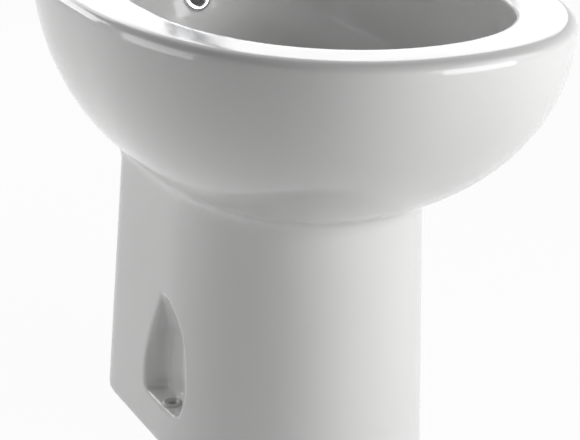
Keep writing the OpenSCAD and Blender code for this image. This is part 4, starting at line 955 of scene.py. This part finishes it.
# Name, azimuth and elevation in degrees, width and height in metres and power in watts of each soft box
SOFT_BOXES = (
    ("front_box", -60, 12, 1.1, 1.1, 20.5),
    ("right_box", -30, 40, 1.0, 1.0, 6),
    ("left_box", 150, 6, 1.0, 1.0, 7.8),
    ("rear_left_box", 112, 12, 0.7, 0.7, 5),
    ("rear_box", 90, 20, 0.7, 0.7, 2.8),
    ("rear_right_box", 63.5, 17, 1.3, 0.45, 3.4),
)
LAMP_AIM = Vector((0, 0, 0.3))
LAMP_DISTANCE = 1.8
AMBIENT = 0.1
# Gloss sees a white room up to the first height of its direction, and a dark ceiling from the second
CEILING_START = 0.5
CEILING_FULL = 0.8
CEILING_GREY = 0.08
FLOOR_GREY = 0.8
FLOOR_GLOW = 0.95
FLOOR_HALF = 4


def make_camera():
    data = bpy.data.cameras.new("camera")
    data.sensor_width = CAMERA_SENSOR
    data.lens = CAMERA_FOCAL_PX * CAMERA_SENSOR / PHOTO_WIDTH
    data.clip_start = 0.01
    camera = bpy.data.objects.new("camera", data)
    camera.location = camera_place
    camera.rotation_euler = camera_look.to_track_quat("-Z", "Y").to_euler()
    bpy.context.scene.collection.objects.link(camera)
    bpy.context.scene.camera = camera


def seen_directly(tree):
    """1 for rays that show the background: from the camera, in gloss and through glass."""
    path = tree.nodes.new("ShaderNodeLightPath")
    total = path.outputs["Is Camera Ray"]
    for name in ("Is Glossy Ray", "Is Transmission Ray"):
        most = tree.nodes.new("ShaderNodeMath")
        most.operation = "MAXIMUM"
        tree.links.new(total, most.inputs[0])
        tree.links.new(path.outputs[name], most.inputs[1])
        total = most.outputs["Value"]
    return total


def make_world():
    world = bpy.data.worlds.new("studio")
    bpy.context.scene.world = world
    world.use_nodes = True
    tree = world.node_tree
    light = tree.nodes["Background"]
    light.inputs["Color"].default_value = (1, 1, 1, 1)
    light.inputs["Strength"].default_value = AMBIENT
    backdrop = tree.nodes.new("ShaderNodeBackground")
    backdrop.inputs["Color"].default_value = (1, 1, 1, 1)
    place = tree.nodes.new("ShaderNodeTexCoord")
    parts = tree.nodes.new("ShaderNodeSeparateXYZ")
    room = tree.nodes.new("ShaderNodeMapRange")
    room.inputs["From Min"].default_value = CEILING_START
    room.inputs["From Max"].default_value = CEILING_FULL
    room.inputs["To Min"].default_value = 1
    room.inputs["To Max"].default_value = CEILING_GREY
    white = tree.nodes.new("ShaderNodeMath")
    white.operation = "MAXIMUM"
    tree.links.new(place.outputs["Generated"], parts.inputs["Vector"])
    tree.links.new(parts.outputs["Z"], room.inputs["Value"])
    tree.links.new(room.outputs["Result"], white.inputs[0])
    tree.links.new(tree.nodes.new("ShaderNodeLightPath").outputs["Is Camera Ray"], white.inputs[1])
    tree.links.new(white.outputs["Value"], backdrop.inputs["Strength"])
    either = tree.nodes.new("ShaderNodeMixShader")
    tree.links.new(seen_directly(tree), either.inputs["Fac"])
    tree.links.new(light.outputs["Background"], either.inputs[1])
    tree.links.new(backdrop.outputs["Background"], either.inputs[2])
    tree.links.new(either.outputs["Shader"], tree.nodes["World Output"].inputs["Surface"])


def make_floor():
    """A pale floor that shows white, with the object's shadow on it."""
    mesh = bpy.data.meshes.new("floor")
    corners = [(x * FLOOR_HALF, y * FLOOR_HALF, 0) for x, y in ((-1, -1), (1, -1), (1, 1), (-1, 1))]
    mesh.from_pydata(corners, [], [(0, 1, 2, 3)])
    floor = new_object("floor", mesh)
    made = bpy.data.materials.new("floor_white")
    made.use_nodes = True
    tree = made.node_tree
    shader = tree.nodes["Principled BSDF"]
    shader.inputs["Base Color"].default_value = (FLOOR_GREY, FLOOR_GREY, FLOOR_GREY, 1)
    shader.inputs["Roughness"].default_value = 0.9
    shader.inputs["Specular IOR Level"].default_value = 0
    glow = tree.nodes.new("ShaderNodeEmission")
    glow.inputs["Strength"].default_value = 1
    share = tree.nodes.new("ShaderNodeMath")
    share.operation = "MULTIPLY"
    share.inputs[1].default_value = FLOOR_GLOW
    tree.links.new(seen_directly(tree), share.inputs[0])
    either = tree.nodes.new("ShaderNodeMixShader")
    tree.links.new(share.outputs["Value"], either.inputs["Fac"])
    tree.links.new(shader.outputs["BSDF"], either.inputs[1])
    tree.links.new(glow.outputs["Emission"], either.inputs[2])
    tree.links.new(either.outputs["Shader"], tree.nodes["Material Output"].inputs["Surface"])
    mesh.materials.append(made)


def soft_box(name, azimuth, elevation, width, height, power):
    """A rectangular light that faces the bowl. Azimuth is in degrees from +X towards +Y."""
    data = bpy.data.lights.new(name, "AREA")
    data.shape = "RECTANGLE"
    data.size = width
    data.size_y = height
    data.energy = power
    lamp = bpy.data.objects.new(name, data)
    turn = math.radians(azimuth)
    tilt = math.radians(elevation)
    away = Vector((math.cos(turn) * math.cos(tilt), math.sin(turn) * math.cos(tilt), math.sin(tilt)))
    lamp.location = LAMP_AIM + LAMP_DISTANCE * away
    lamp.rotation_euler = (-away).to_track_quat("-Z", "Y").to_euler()
    lamp.visible_camera = False
    bpy.context.scene.collection.objects.link(lamp)


make_camera()
make_world()
make_floor()
for box in SOFT_BOXES:
    soft_box(*box)

# Object
ceramic = ceramic_body()
stand_for(ceramic, *CERAMIC_NODES)
overflow_ring()
fixing_bushes()

# Each node with its grain in millimetres and how often it is smoothed
for name, voxel, passes in (
    ("mixer_body", 0.6, 6),
    ("lever_handle", 0.6, 6),
    ("plug", 0.5, 3),
    ("nozzle", 0.4, 3),
    ("barrel_cap", 0.5, 3),
    ("lift_knob", 0.25, 3),
    ("trap_body", 0.7, 3),
    ("trap_cup", 0.7, 3),
    ("waste_body", 0.7, 3),
    ("waste_flange", 0.5, 2),
):
    softened(name, voxel, passes)

# Each node with the width of its broken edges in millimetres
for name, width in (
    ("union_nut", 0.6),
    ("neck_nut", 0.6),
    ("outlet_nut", 0.6),
    ("ball_nut", 0.4),
    ("stud_nut", 0.3),
    ("clamp_plate", 0.4),
    ("linkage_strap", 0.25),
    ("strap_screw", 0.25),
    ("lever_clip", 0.15),
    ("outlet_pipe", 0.4),
    ("base_gasket", 0.3),
):
    bevelled(name, width)

for name, node in nodes.items():
    node.data.materials.clear()
    node.data.materials.append(finishes[slot_of[name]])

bpy.context.scene.view_settings.view_transform = "Standard"
